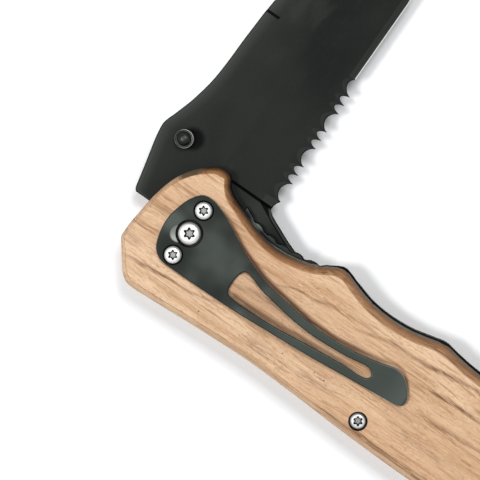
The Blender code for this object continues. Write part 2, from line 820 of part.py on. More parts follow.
def stud_profile(shank):
    """Return a stud half's turned outline: flange, neck, rim and dome, over a shank or not."""
    base = stud_base_height
    neck = base + stud_neck_height
    rim = neck + stud_rim_height
    top = rim + stud_dome_height
    edge = stud_chamfer
    body = [
        (stud_base_radius, 0), (stud_base_radius, base - edge), (stud_base_radius - edge, base),
        (stud_neck_radius, base), (stud_neck_radius, neck), (stud_rim_radius - edge, neck),
        (stud_rim_radius, neck + edge), (stud_rim_radius, rim - edge), (stud_rim_radius - edge, rim),
        (stud_dome_radius, rim), (stud_dome_radius - edge, rim + stud_dome_height / 2),
        (stud_dome_radius / 2, top - edge / 2), (0, top),
    ]
    if shank > 0:
        return [(0, -shank), (stud_shank_radius, -shank), (stud_shank_radius, 0)] + body
    return [(0, stud_socket_depth), (stud_bore_radius, stud_socket_depth), (stud_bore_radius, 0)] + body


def add_thumb_stud(material):
    """Make the stud's two halves, the near one's shank seated in the far one."""
    shank = blade_thickness + seat_gap + stud_socket_depth - thread_end_gap
    near = turned_mesh("thumb_stud_near", stud_profile(shank), small_sides)
    near_stud = add_object("thumb_stud_near", near, material, soft_angle)
    near_stud.location = (-stud_above, stud_along, blade_high + seat_gap)
    far = turned_mesh("thumb_stud_far", stud_profile(0), small_sides)
    far_stud = add_object("thumb_stud_far", far, material, soft_angle)
    far_stud.location = (-stud_above, stud_along, blade_low - seat_gap)
    far_stud.rotation_euler = (math.pi, 0, 0)


def six_lobe(reach):
    """Return the outline of a six-lobe recess."""
    points = []
    for i in range(lobe_points):
        turn = 2 * math.pi * i / lobe_points
        radius = reach * (1 - recess_wave_share + recess_wave_share * math.cos(lobe_count * turn))
        points.append(Vector((radius * math.cos(turn), radius * math.sin(turn))))
    return points


def screw_mesh(name, head_radius, head_height, shank_radius, shank_length, material):
    """Make a button-head screw along Z, its seat at height zero."""
    shoulder = head_height * head_shoulder_share
    flat = head_radius * head_flat_share
    profile = [
        (0, -shank_length), (shank_radius, -shank_length), (shank_radius, 0), (head_radius, 0),
        (head_radius, shoulder), ((head_radius + flat) / 2, (shoulder + 2 * head_height) / 3),
        (flat, head_height), (0, head_height),
    ]
    blank = add_object(name, turned_mesh(name, profile, small_sides), material)
    floor = head_height * (1 - recess_depth_share)
    outline = six_lobe(head_radius * recess_reach_share)
    recess = prism_mesh("cut_recess", outline, floor, head_height + overrun)
    subtract(blank, add_object("cut_recess", recess, None))
    mesh = settle(blank)
    mesh.shade_smooth()
    mesh.set_sharp_from_angle(angle=soft_angle)
    bpy.data.objects.remove(blank, do_unlink=True)
    return mesh


def place_screw(name, mesh, centre, seat, near):
    """Stand a screw on its seat, its head up on the near side and down on the far side."""
    screw = add_object(name, mesh, None)
    screw.location = (centre[0], centre[1], seat)
    if not near:
        screw.rotation_euler = (math.pi, 0, 0)
    return screw


def add_screws(material):
    """Make the pivot screw, the clip's screws and the body screws of both sides."""
    pivot = screw_mesh("pivot_screw", pivot_head_radius, pivot_head_height,
                       pivot_shank_radius, pivot_shank_length, material)
    place_screw("pivot_screw", pivot, (0, 0), near_scale_high + seat_gap, True)

    clip_seat = clip_high - clip_counterbore_depth + seat_gap
    clip_screw = screw_mesh("clip_screw", clip_head_radius, clip_head_height,
                            small_shank_radius, clip_seat - near_liner_low, material)
    near_seat = near_scale_high - body_counterbore_depth + seat_gap
    far_seat = body_counterbore_depth - seat_gap
    middle = (far_liner_high + near_liner_low) / 2
    body_screw = screw_mesh("body_screw", body_head_radius, body_head_height,
                            small_shank_radius, near_seat - middle - thread_end_gap, material)
    short_screw = screw_mesh("short_screw", body_head_radius, body_head_height,
                             small_shank_radius, far_liner_high - far_seat, material)
    for label, centre in clip_screw_places().items():
        place_screw(f"clip_screw_{label}", clip_screw, centre, clip_seat, True)
        place_screw(f"far_screw_{label}", short_screw, centre, far_seat, False)
    for label, centre in body_screw_places().items():
        place_screw(f"near_screw_{label}", body_screw, centre, near_seat, True)
        place_screw(f"far_screw_{label}", body_screw, centre, far_seat, False)


def add_pivot_barrel(material):
    """Make the sleeve that the blade turns on, its flat head flush with the far face."""
    top = near_scale_high - barrel_top_drop
    head = barrel_head_height
    edge = barrel_head_chamfer
    floor = near_scale_high + seat_gap - pivot_shank_length - thread_end_gap
    profile = [
        (0, 0), (barrel_head_radius - edge, 0), (barrel_head_radius, edge), (barrel_head_radius, head),
        (barrel_radius, head), (barrel_radius, top), (barrel_bore_radius, top),
        (barrel_bore_radius, floor), (0, floor),
    ]
    mesh = turned_mesh("pivot_barrel", profile, round_sides)
    return add_object("pivot_barrel", mesh, material, soft_angle)


def add_washer(name, low, material):
    """Make one bronze washer."""
    mesh = tube_mesh(name, washer_radius, blade_bore_radius, low, low + washer_thickness, round_sides)
    return add_object(name, mesh, material, soft_angle)


def add_stop_pin(material):
    """Make the pin that both liners hold."""
    edge = stop_pin_chamfer
    low = far_liner_low
    high = near_liner_high
    profile = [(0, low), (stop_pin_radius - edge, low), (stop_pin_radius, low + edge),
               (stop_pin_radius, high - edge), (stop_pin_radius - edge, high), (0, high)]
    pin = add_object("stop_pin", turned_mesh("stop_pin", profile, round_sides), material, soft_angle)
    pin.location = (*stop_place(), 0)
    return pin


def add_backspacer(material):
    """Make the bar between the liners along the rear half of the back."""
    edge = handle_outline(-spacer_inset)
    start = serration_end() + spacer_lead
    back = [point for point in edge if point.y < -spacer_inner and start < point.x < spacer_end]
    outline = [Vector((start, -spacer_inner)), Vector((start, back[0].y))] + back
    outline += [Vector((spacer_end, back[-1].y)), Vector((spacer_end, -spacer_inner))]
    low = far_liner_high + seat_gap
    high = near_liner_low - seat_gap
    spacer = add_object("backspacer", prism_mesh("backspacer", outline, low, high), material)
    for label, centre in body_screw_places().items():
        bore(spacer, label, centre, small_shank_radius + shank_clearance, low - overrun, high + overrun)
    return spacer


def clip_points(shares):
    """Place the clip's shares beside the pivot."""
    return [Vector((along * clip_length - clip_front, across * clip_width)) for along, across in shares]


def bend_clip(clip):
    """Raise the clip's arms off the handle and bring its end back down, crease by crease."""
    table = [(along * clip_length - clip_front, lift * clip_lift) for along, lift in clip_bend_shares]
    bm = bmesh.new()
    bm.from_mesh(clip.data)
    for place, _ in table:
        geometry = bm.verts[:] + bm.edges[:] + bm.faces[:]
        bmesh.ops.bisect_plane(bm, geom=geometry, dist=crease_tolerance,
                               plane_co=(place, 0, 0), plane_no=(1, 0, 0))
    ends = [(table[0][0] - clip_length, 0)] + table
    slope = (table[-1][1] - table[-2][1]) / (table[-1][0] - table[-2][0])
    ends.append((table[-1][0] + clip_length, table[-1][1] + slope * clip_length))
    for vert in bm.verts:
        for (start, low), (end, high) in zip(ends, ends[1:]):
            if start <= vert.co.x <= end:
                lift = low + (high - low) * (vert.co.x - start) / (end - start)
                break
        vert.co.z += lift
    bm.to_mesh(clip.data)
    bm.free()


def cut_clip_dimple(clip):
    """Press the shallow round dimple into the clip beside its pivot hole."""
    profile = [(reach * dimple_radius, -depth * dimple_depth) for reach, depth in dimple_depth_shares]
    profile += [(dimple_radius + overrun, overrun), (0, overrun)]
    dimple = add_object("cut_clip_dimple", turned_mesh("cut_dimple", profile, small_sides), None)
    along = dimple_offset * math.cos(dimple_turn)
    across = dimple_offset * math.sin(dimple_turn)
    dimple.location = (along, across, clip_high)
    subtract(clip, dimple)


def add_pocket_clip(material):
    """Make the clip: a slotted plate with its screws' seats, bent over the handle."""
    wide = closed_spline(clip_points(clip_shares), outline_steps)
    narrow = closed_spline(offset_points(clip_points(clip_shares), -clip_rim), outline_steps)
    rings = [raised(wide, clip_low), raised(wide, clip_high - clip_rim), raised(narrow, clip_high)]
    clip = add_object("pocket_clip", loft_mesh("pocket_clip", rings), material)
    slot_narrow = closed_spline(clip_points(slot_shares), outline_steps - 1)
    slot_wide = closed_spline(offset_points(clip_points(slot_shares), clip_rim + overrun), outline_steps - 1)
    slot_rings = [raised(slot_narrow, clip_low - overrun), raised(slot_narrow, clip_high - clip_rim),
                  raised(slot_wide, clip_high + overrun)]
    subtract(clip, add_object("cut_clip_slot", loft_mesh("cut_slot", slot_rings), None))
    low = clip_low - overrun
    high = clip_high + overrun
    bore(clip, "pivot", (0, 0), pivot_head_radius + clip_pivot_clearance, low, high, round_sides)
    for label, centre in clip_screw_places().items():
        bore(clip, label, centre, small_shank_radius + shank_clearance, low, high)
        bore(clip, f"{label}_head", centre, clip_counterbore_radius,
             clip_high - clip_counterbore_depth, high, small_sides)
    cut_clip_dimple(clip)
    settle(clip)
    bend_clip(clip)
    return clip


def build_knife():
    """Build every piece of the knife."""
    clear_scene()
    wood = make_material("scale_wood", (0.62, 0.40, 0.23), 0.55, 0.0)
    dark_steel = make_material("liner_black", (0.012, 0.013, 0.013), 0.45, 1.0)
    blade_coat = make_material("blade_coat", (0.030, 0.033, 0.032), 0.50, 0.6)
    clip_coat = make_material("clip_coat", (0.065, 0.078, 0.075), 0.38, 0.8)
    bright_steel = make_material("screw_steel", (0.78, 0.78, 0.77), 0.22, 1.0)
    bronze = make_material("washer_bronze", (0.55, 0.35, 0.16), 0.35, 1.0)

    add_scale("far_scale", wood, False)
    add_scale("near_scale", wood, True)
    far_liner = add_liner("far_liner", dark_steel, far_liner_low)
    near_liner = add_liner("lock_side_liner", dark_steel, near_liner_low)
    add_cutout(far_liner, far_liner_low, far_liner_high)
    add_cutout(bpy.data.objects["far_scale"], 0, scale_thickness)
    cut_lock_slot(near_liner)
    add_lock_bar(dark_steel)
    add_detent_ball(bright_steel)
    add_blade(blade_coat)
    add_thumb_stud(blade_coat)
    add_pivot_barrel(bright_steel)
    add_washer("washer_far", far_washer_low, bronze)
    add_washer("washer_near", near_washer_low, bronze)
    add_stop_pin(bright_steel)
    add_backspacer(dark_steel)
    add_pocket_clip(clip_coat)
    add_screws(bright_steel)


build_knife()
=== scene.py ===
"""The looks of the folding knife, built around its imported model.

Metres, in the model's frame: the blade turns about the Z axis through the origin, the handle
runs along +X with its back to -Y, and the far side rests on Z = 0.
"""

import math

import bmesh
import bpy
from mathutils import Matrix, Vector


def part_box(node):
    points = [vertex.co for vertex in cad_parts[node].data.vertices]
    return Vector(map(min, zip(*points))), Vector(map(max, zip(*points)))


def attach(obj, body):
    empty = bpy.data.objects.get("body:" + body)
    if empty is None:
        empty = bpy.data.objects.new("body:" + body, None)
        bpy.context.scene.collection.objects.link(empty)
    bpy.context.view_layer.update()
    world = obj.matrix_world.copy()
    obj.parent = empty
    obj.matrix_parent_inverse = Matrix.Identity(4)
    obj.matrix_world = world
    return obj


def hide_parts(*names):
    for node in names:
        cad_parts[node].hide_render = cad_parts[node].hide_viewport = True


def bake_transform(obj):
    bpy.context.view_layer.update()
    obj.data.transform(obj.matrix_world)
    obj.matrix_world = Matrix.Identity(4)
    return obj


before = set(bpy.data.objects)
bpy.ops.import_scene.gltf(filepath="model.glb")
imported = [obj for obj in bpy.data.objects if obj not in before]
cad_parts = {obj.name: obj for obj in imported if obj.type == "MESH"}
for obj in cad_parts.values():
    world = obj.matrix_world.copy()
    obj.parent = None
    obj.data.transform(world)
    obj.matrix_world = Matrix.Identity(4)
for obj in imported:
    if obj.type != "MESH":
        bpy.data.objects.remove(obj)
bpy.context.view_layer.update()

MM = 0.001
DEGREE = math.pi / 180.0


def heights(node):
    """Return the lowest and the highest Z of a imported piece."""
    low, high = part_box(node)
    return low.z, high.z


def metres(*lengths):
    """Return lengths in millimetres as metres."""
    return tuple(length * MM for length in lengths)


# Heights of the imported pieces' faces
far_scale_high = heights("far_scale")[1]
near_scale_low, near_scale_high = heights("near_scale")
far_liner_low, far_liner_high = heights("far_liner")
near_liner_low, near_liner_high = heights("lock_side_liner")
spacer_low, spacer_high = heights("backspacer")
blade_low, blade_high = heights("blade")
clip_low = heights("pocket_clip")[0]
seat_gap = 0.03 * MM

# Handle plates
handle_length = 120.8 * MM
handle_width = 36.5 * MM
nose_reach = 13.4 * MM
pivot_above_back = 18.8 * MM
belly_bevel_width = 1.9 * MM
back_bevel_width = 1.4 * MM
end_bevel_width = 0.9 * MM
bevel_depth = 2.2 * MM
liner_proud = 0.72 * MM
liner_proud_least = 0.15 * MM
liner_proud_from = 36.5 * MM
liner_proud_run = 3.0 * MM
liner_edge = 0.35 * MM
outline_steps = 8
bevel_shares = [
    (0, -0.14), (0.015, -0.05), (0.06, 0.05), (0.14, 0.15), (0.5, 0.51), (0.86, 0.87), (0.94, 0.945),
    (1.02, 0.985), (1.12, 1),
]
wood_edge = 0.12 * MM
steel_edge = 0.10 * MM

# Handle outline: shares of the length from the nose, and of the width from the back
handle_shares = [
    (0, 0.272), (0.001, 0.239), (0.02, 0.151), (0.038, 0.071), (0.047, 0.038), (0.063, 0.005), (0.081, 0),
    (0.101, 0.003), (0.171, 0.017), (0.25, 0.032), (0.349, 0.044), (0.449, 0.038), (0.548, 0.025),
    (0.647, 0.015), (0.747, 0.012), (0.846, 0.012), (0.925, 0.035), (0.973, 0.12), (0.997, 0.265),
    (1, 0.449), (0.991, 0.647), (0.965, 0.791), (0.922, 0.87), (0.866, 0.87), (0.796, 0.84),
    (0.727, 0.847), (0.687, 0.863), (0.659, 0.877), (0.631, 0.857), (0.588, 0.824), (0.536, 0.811),
    (0.488, 0.824), (0.445, 0.862), (0.421, 0.89), (0.403, 0.9), (0.385, 0.874), (0.353, 0.814),
    (0.314, 0.778), (0.27, 0.762), (0.222, 0.785), (0.175, 0.837), (0.139, 0.883), (0.123, 0.923),
    (0.113, 0.975), (0.096, 0.992), (0.079, 0.977), (0.063, 0.935), (0.043, 0.868), (0.0235, 0.761),
    (0.01, 0.614), (0.003, 0.437), (0, 0.344),
]

# Pivot, stop pin and screws
barrel_radius = 2.5 * MM
barrel_bore_radius = 1.6 * MM
barrel_head_radius = 4.0 * MM
barrel_head_height = 1.4 * MM
barrel_top = 14.68 * MM
barrel_floor = 8.36 * MM
pivot_shank_radius = 1.45 * MM
pivot_shank_length = 6.5 * MM
pivot_head_radius = 2.75 * MM
pivot_head_height = 1.69 * MM
blade_bore_radius = 2.6 * MM
washer_radius = 5.0 * MM
washer_edge = 0.05 * MM
fixed_clearance = 0.05 * MM
stop_pin_radius = 2.4 * MM
clip_screw_pitch = 12.9 * MM
clip_screw_setback = 0.3 * MM
body_screw_inset = 4.4 * MM
middle_screw_reach = 59.0 * MM
rear_screw_reach = 93.0 * MM
small_shank_radius = 1.1 * MM
small_bore_radius = 1.2 * MM
clip_head_radius = 2.1 * MM
clip_head_height = 1.3 * MM
clip_counterbore_radius = 2.42 * MM
clip_counterbore_depth = 0.7 * MM
body_head_radius = 1.95 * MM
body_head_height = 1.4 * MM
body_counterbore_radius = 2.25 * MM
body_counterbore_depth = 1.75 * MM
thread_end_gap = 0.25 * MM
pivot_recess_reach = 1.5 * MM
small_recess_reach = 1.26 * MM
recess_floor_share = 0.58
recess_depth_share = 0.65
recess_wave_share = 0.17
recess_turn = 5.0 * DEGREE
lobe_count = 6
head_dome = [
    (1, 0), (1, 0.44), (0.988, 0.56), (0.955, 0.68), (0.905, 0.8), (0.85, 0.9), (0.78, 0.965),
    (0.71, 0.995), (0.66, 1),
]

# Backspacer, lock bar and thumb cut-out
spacer_start = 55.15 * MM
spacer_end = 102.0 * MM
spacer_inner = 11.65 * MM
spacer_inset = 0.7 * MM
lock_bar_front = 7.45 * MM
lock_bar_root = 46.0 * MM
lock_bar_low = 2.6 * MM
lock_bar_strip = 1.5 * MM
lock_bar_step = 2.0 * MM
lock_slot_width = 0.7 * MM
relief_radius = 1.5 * MM
jimping_proud = 1.7 * MM
jimping_proud_shares = [(0, 0.76), (0.25, 0.88), (0.55, 1), (0.8, 0.66), (1, 0.3)]
jimping_start = 9.2 * MM
jimping_end = 32.0 * MM
jimping_depth = 0.55 * MM
jimping_count = 6
jimping_points = 14
detent_radius = 0.8 * MM
ball_subdivisions = 4
detent_proud = 0.38 * MM
detent_forward = 9.6 * MM
detent_above = 4.7 * MM
detent_hole_radius = 0.6 * MM
detent_hole_depth = 0.8 * MM
cutout_centre = 22.0 * MM
cutout_half_length = 11.5 * MM
cutout_depth = 1.7 * MM
cutout_height = 9.0 * MM

# Blade
blade_length = 97.0 * MM
blade_thickness = blade_high - blade_low
spine_height = 21.0 * MM
edge_depth = 11.3 * MM
ricasso_length = 15.7 * MM
plunge_run = 0.75 * MM
grind_line_above = 2.7 * MM
edge_bevel_width = 1.8 * MM
edge_bevel_half = 0.33 * MM
edge_half = 0.1 * MM
bright_edge_width = 0.22 * MM
tip_half = 0.45 * MM
belly_start = 75.0 * MM
spine_chamfer_width = 0.9 * MM
spine_chamfer_drop = 0.3 * MM
blade_lip = 0.2 * MM
tang_chamfer = 0.22 * MM
front_chamfer_width = 0.75 * MM
front_chamfer_drop = 0.3 * MM
front_groove_half = 0.13 * MM
front_groove_depth = 0.1 * MM
least_groove = 0.01 * MM
tang_spine_run = metres(12, 15)
tang_front_run = metres(11, 12)
tang_side_run = metres(2, 3)
flipper_steps = 5
shoulder_steps = 12
# Tones on the blade's faces: bare steel; the spine's chamfer lightened as a painted highlight; the edge
# bevel; black as painted shade
bare_tone = 1.0
chamfer_tone = 0.25
bevel_tone = 0.16
black_tone = -1.0
spine_shares = [
    (0.01, 0.83), (0.047, 0.868), (0.097, 0.921), (0.147, 0.975), (0.182, 0.998), (0.197, 0.988),
    (0.222, 0.948), (0.247, 0.911), (0.272, 0.876), (0.297, 0.85), (0.322, 0.826), (0.347, 0.809),
    (0.372, 0.798), (0.422, 0.788), (0.472, 0.784), (0.522, 0.774), (0.562, 0.766), (0.597, 0.753),
    (0.66, 0.71), (0.742, 0.619), (0.825, 0.495), (0.907, 0.329), (0.959, 0.186), (1, 0.01),
]
swedge_start = 54.5 * MM
swedge_width = 3.7 * MM
swedge_half = 0.6 * MM
swedge_line_shares = [(0.562, 0.59), (0.64, 0.49), (0.773, 0.352), (0.907, 0.205), (1, 0.006)]
grind_line_shares = [(0.162, 1), (0.773, 1), (0.907, 0.74), (1, 0.02)]
serration_start = 18.6 * MM
first_tooth_rise = 2.12 * MM
last_tooth_rise = 1.22 * MM
tooth_flat = 0.2 * MM
wide_scallop = 5.25 * MM
narrow_scallop = 2.45 * MM
last_scallop = 4.3 * MM
wide_scallop_depth = 1.84 * MM
narrow_scallop_depth = 1.88 * MM
last_scallop_depth = 1.5 * MM
scallop_fullness = 0.85
scallop_skew = 0.92
scallop_groups = 3
serration_end = serration_start + scallop_groups * (wide_scallop + 2 * narrow_scallop) + last_scallop
scallop_points = 14
ricasso_stations = 6
plain_stations = 40
point_gap = 0.7 * MM
least_wall = 0.02 * MM
flute_reach = 0.9 * MM
flute_root = 0.5 * MM
choil_depth = 1.3 * MM
tang_radius = 10.7 * MM
lock_face_behind = 7.3 * MM
lock_notch_side = 1.8 * MM
shoulder_depth = 17.35 * MM
shoulder_corner = 0.5 * MM
shoulder_side = 0.59 * MM
closed_stop_side = 4.39 * MM
closed_stop_reach = 14.55 * MM
flipper_reach = 25.3 * MM
flipper_shares = [
    (0.94, 0.546), (0.909, 0.585), (0.832, 0.695), (0.755, 0.805), (0.692, 0.911), (0.656, 0.972),
    (0.61, 0.996), (0.55, 0.998), (0.495, 0.978), (0.455, 0.925), (0.395, 0.771), (0.325, 0.64),
]

# Thumb stud: radius and height of its turned outline
stud_along = 17.8 * MM
stud_above = 14.4 * MM
stud_place = (-stud_above, stud_along)
stud_bore_radius = 1.4 * MM
stud_outline = [
    (2.5, 0), (2.5, 0.62), (2.42, 0.74), (2.32, 0.8), (1.95, 0.84), (1.95, 1.22), (2.2, 1.32),
    (2.35, 1.46), (2.35, 2.02), (2.29, 2.14), (2.17, 2.18), (2.08, 2.1), (2.02, 1.92), (1.76, 1.88),
    (1.64, 2), (1.56, 2.22), (1.4, 2.46), (1.12, 2.68), (0.76, 2.82), (0.38, 2.88), (0, 2.9),
]
stud_shank_radius = 1.2 * MM
stud_shank_length = 4.38 * MM
stud_socket_depth = 1.6 * MM

# Pocket clip: outline and slot as shares of its length from its front, and of its width
clip_thickness = 1.2 * MM
clip_length = 72.2 * MM
clip_width = 19.2 * MM
clip_front = 6.45 * MM
clip_rim = 0.34 * MM
clip_under_rim = 0.12 * MM
clip_pivot_clearance = 0.42 * MM
clip_high = clip_low + clip_thickness
clip_strip = 0.8 * MM
dimple_radius = 2.3 * MM
dimple_depth = 0.2 * MM
dimple_offset = 2.6 * MM
dimple_steps = 10
dimple_turn = 215.0 * DEGREE
# Radii of the ring on the stud that carries its painted highlight
stud_ring_inner = 2.15 * MM
stud_ring_outer = 2.25 * MM
stud_ring_soft = 0.06 * MM
clip_shares = [
    (0, 0), (0.006, -0.2), (0.026, -0.388), (0.059, -0.475), (0.122, -0.49), (0.222, -0.487),
    (0.355, -0.472), (0.488, -0.438), (0.654, -0.394), (0.82, -0.331), (0.927, -0.294), (0.968, -0.279),
    (0.986, -0.262), (0.996, -0.232), (0.999, -0.16), (0.984, -0.05), (0.953, 0.056), (0.935, 0.09),
    (0.905, 0.102), (0.86, 0.055), (0.771, -0.015), (0.671, -0.05), (0.588, -0.045), (0.488, 0),
    (0.388, 0.062), (0.322, 0.137), (0.255, 0.244), (0.189, 0.375), (0.139, 0.462), (0.089, 0.512),
    (0.053, 0.49), (0.025, 0.362), (0.008, 0.184),
]
slot_shares = [
    (0.303, -0.07), (0.302, -0.265), (0.309, -0.33), (0.33, -0.357), (0.388, -0.357), (0.488, -0.342),
    (0.621, -0.287), (0.754, -0.237), (0.827, -0.229), (0.848, -0.204), (0.855, -0.16), (0.846, -0.108),
    (0.827, -0.085), (0.754, -0.125), (0.638, -0.158), (0.554, -0.15), (0.455, -0.1), (0.388, -0.056),
    (0.33, 0.01), (0.314, 0),
]
clip_lift = 1.1 * MM
clip_bend_shares = [
    (0.265, 0), (0.3, 0.06), (0.34, 0.3), (0.39, 0.7), (0.44, 0.95), (0.5, 1), (0.6, 0.88), (0.7, 0.6),
    (0.8, 0.28), (0.88, 0.1), (0.92, 0.06), (0.95, 0.11), (0.98, 0.22), (1, 0.32),
]
clip_flex_start = 8.0 * MM

# Waves and patterns in the wood: scales along and across, offset, then detail and roughness
grain_waves = [(20, 45, 0), (190, 520, 2.2)]
slow_wave = 6.0 * MM
quick_wave = 0.8 * MM
grain_patterns = [
    (12, 120, 0, 2, 0.5), (24, 330, 4.1, 3, 0.55), (46, 1400, 3.1, 4, 0.62), (20, 2700, 5.5, 2, 0.5),
    (170, 3900, 7.7, 3, 0.6),
]

# Streaks on the near side, in millimetres: along, across, half width, strength
streak_low = -14.0
streak_high = 107.0
streak_side = 24.0
streak_widest = 4.0
streak_shift = 0.5 * MM
# Painted highlight along the spine: its inset, half width and strength
spine_highlight_inset = 0.5
spine_highlight_half = 3.0
spine_highlight = 0.55
wood_streaks = [
    [(44, 3.6, 0.4, 0), (49, 4.9, 0.8, 0.5), (55, 6.4, 1, 0.9), (65, 6.5, 1.1, 0.7), (70, 7.7, 1, 0.9),
     (79, 8.7, 0.9, 0.7), (90, 9.4, 0.9, 0.4), (104, 10, 0.8, 0)],
    [(63, 1.9, 0.4, 0), (68, 2.3, 0.8, 0.6), (72, 2.5, 1, 1), (78, 2.8, 1, 1), (84, 3, 0.8, 0.6),
     (94, 3.2, 0.6, 0)],
    [(68, -4.1, 0.4, 0), (73, -3.8, 0.8, 0.6), (78, -3.6, 0.9, 1), (81, -3.5, 0.9, 0.9),
     (87, -3.1, 0.8, 0.6), (98, -2.8, 0.6, 0)],
    [(62, -9.6, 1.2, 0), (67, -9.9, 1.6, 0.3), (75, -10.1, 1.8, 0.3), (82, -9.9, 1.5, 0.25),
     (92, -9.6, 1.2, 0)],
    [(48, -16.2, 0.6, 0), (54, -16.4, 0.9, 0.6), (62, -16.5, 1.1, 0.95), (80, -16.3, 1.2, 1),
     (100, -15.8, 1.1, 0.7), (106, -15.4, 1, 0)],
    [(-11, -13.1, 0.3, 0), (-8, -12.9, 0.7, 0.6), (-5, -12.7, 0.8, 1), (2.2, -11.8, 0.8, 1),
     (8.5, -11.5, 0.8, 0.6), (15, -9.9, 0.7, 0.4), (19, -8.8, 0.6, 0)],
    [(-13.5, -5.1, 0.3, 0.9), (-9, -5.2, 0.3, 0.9), (-6.2, -5.2, 0.3, 0.7), (-5, -5.2, 0.3, 0)],
    [(-12.5, -8.6, 1.4, 0.5), (-9, -8.8, 1.8, 0.6), (-6.5, -8.8, 1.4, 0)],
    [(-12, 1, 0.8, 0.3), (-8, 1, 1.5, 0.5), (-4, 1.1, 1.1, 0)],
    [(22, 1.2, 0.3, 0), (25, 2.1, 0.5, 0.4), (29.5, 4, 0.4, 0.9), (34, 4.1, 0.5, 0.9),
     (38, 5.2, 1.2, 0.6), (44, 5.8, 1.3, 0.6), (50, 6.4, 0.8, 0.3), (53, 6.6, 0.5, 0)],
    [(23, -12.9, 1.2, 0), (27, -12.9, 2, 0.5), (33, -12.9, 2, 0.5), (38, -12.8, 1.2, 0)],
    [(38, -12.3, 1.2, 0), (42, -12.2, 1.9, 0.45), (48, -12.2, 1.9, 0.45), (53, -12.1, 1.2, 0)],
    [(15, -4.2, 0.8, 0.2), (20, -3, 1.2, 0.6), (28, -2.8, 1.2, 0.5), (38, -1.9, 1, 0.4),
     (50, -2.2, 0.8, 0.3), (58, -2.6, 0.6, 0)],
    [(55, -6.9, 0.5, 0), (60, -6.6, 0.8, 0.4), (68, -6.4, 0.9, 0.4), (76, -6.6, 0.6, 0)],
    [(56, 10.6, 0.5, 0), (62, 11, 0.7, 0.4), (70, 11.4, 0.8, 0.5), (80, 11.6, 0.7, 0.3),
     (88, 11.6, 0.6, 0)],
]
# Painted shadow of the raised clip on the wood: under it in the slot, then along its edges; same columns
slot_shade = [
    (12, -3.6, 3, 0), (17, -3.7, 3.4, 0.25), (25, -3.9, 3.6, 0.2), (33, -4.8, 3, 0.2),
    (40, -4.9, 2.4, 0.25), (48, -4, 2.2, 0.25), (55, -3.2, 2, 0.2), (58, -3.2, 1.6, 0),
]
clip_edge_shades = [
    [(15.5, -6, 0.6, 0), (18, -6.1, 1.2, 0.8), (21.6, -6.1, 1.3, 0.9), (28.8, -5.9, 1.2, 0.8),
     (38.4, -5, 1.1, 0.7), (48, -4.1, 0.9, 0.6), (53, -3.9, 0.8, 0.4), (56, -3.9, 0.5, 0)],
    [(2, 10.2, 0.6, 0), (7.2, 7.8, 1, 0.7), (12, 5.3, 1.2, 0.95), (16.8, 3.2, 1.2, 1),
     (21.6, 1.7, 1.2, 0.95), (28.8, 0.5, 1.2, 0.9), (36, -0.4, 1.2, 0.95), (42, -0.5, 1.2, 0.95),
     (49.2, 0.2, 1.1, 0.9), (55.6, 1.6, 1, 0.7), (59.5, 2.6, 0.8, 0.5), (61.8, 2.3, 0.9, 0.6),
     (63.6, 0.7, 1.3, 0.8), (65, -1.2, 1.8, 0.85), (66, -2.8, 1.8, 0.5), (66.8, -3.2, 1.2, 0)],
]

# Round spots: their place, and the distances within which they are full and gone
wood_flecks = [metres(12.5, -13.9, 0, 0.4), metres(43.7, -9.4, 0, 0.32), metres(46.7, -9.6, 0, 0.32),
               metres(34.8, -10.3, 0, 0.32)]
# Width over which the painted shadow rings in the gaps round screw heads fade
gap_shadow_soft = 0.3 * MM
# Painted shade on the bevel at the top of the nose
nose_bevel_shade_spot = metres(-8.4, 11.9, 1.5, 3.8)
clip_front_spot = metres(-4.9, 0.3, 1, 4)
# Painted shade on the clip where its bend rises
clip_bend_shade_spot = metres(21.5, -8.2, 2, 8)
# Painted highlight on the lock bar's top face by the thumb
bar_highlight_spot = metres(11.8, 10.9, 0.3, 2.6)
handled_spot = metres(11.2, 13.2, 1, 6)
# Reach of the painted shadow round the pivot on the wood
pivot_shadow_radius = 4.1 * MM
# Side where the stud crest's painted highlight is strongest
stud_lit_side_spot = (stud_place[0] + 1.2 * MM, stud_place[1] + 0.8 * MM) + metres(2.3, 3.6)
# Painted shadow that the thumb stud casts on the blade
stud_shadow_spot = (stud_place[0] + 1.7 * MM, stud_place[1] + 1.2 * MM) + metres(2.0, 3.5)

# Lengths along X over which a tone fades, and places on the liner with painted highlights
rim_nose_run = metres(-11, -5)
rim_thumb_run = metres(34, 16)
# Run along X over which the liners' painted shade comes in
liner_shade_run = metres(13, 19)
clip_arm_run = metres(20, 36)
clip_tail_run = metres(54, 62)
blade_dark_run = metres(-20, -2)
liner_highlight_places = range(19, 106, 3)
bar_highlight_places = range(8, 30, 3)

# Tints that darken the wood's bevels, as painted shade on the belly side, and that tint the floor; and
# heights that the fine grain stands out
rim_high_tints = (0.66, 0.50, 0.37, 1.0), (0.47, 0.35, 0.25, 1.0)
rim_low_tints = (0.28, 0.20, 0.13, 1.0), (0.05, 0.03, 0.02, 1.0)
rim_thumb_tint = (0.50, 0.34, 0.16, 1.0)
crease_tint = (0.52, 0.42, 0.34, 1.0)
floor_tints = (0.943, 0.956, 0.967, 1.0), (0.953, 0.966, 0.977, 1.0)
wood_bump = 0.06 * MM
coat_bump = 0.02 * MM
blade_bump = 0.012 * MM
steel_bump = 0.01 * MM

# Roundness and the length that every cut runs past its faces
soft_angle = 32.0 * DEGREE
round_sides = 96
small_sides = 48
lobe_points = 96
arc_steps = 48
rim_steps = 4
overrun = 0.5 * MM
quarter_turn = [(1 - math.sin(math.pi / 2 * i / rim_steps), 1 - math.cos(math.pi / 2 * i / rim_steps))
                for i in range(rim_steps + 1)]

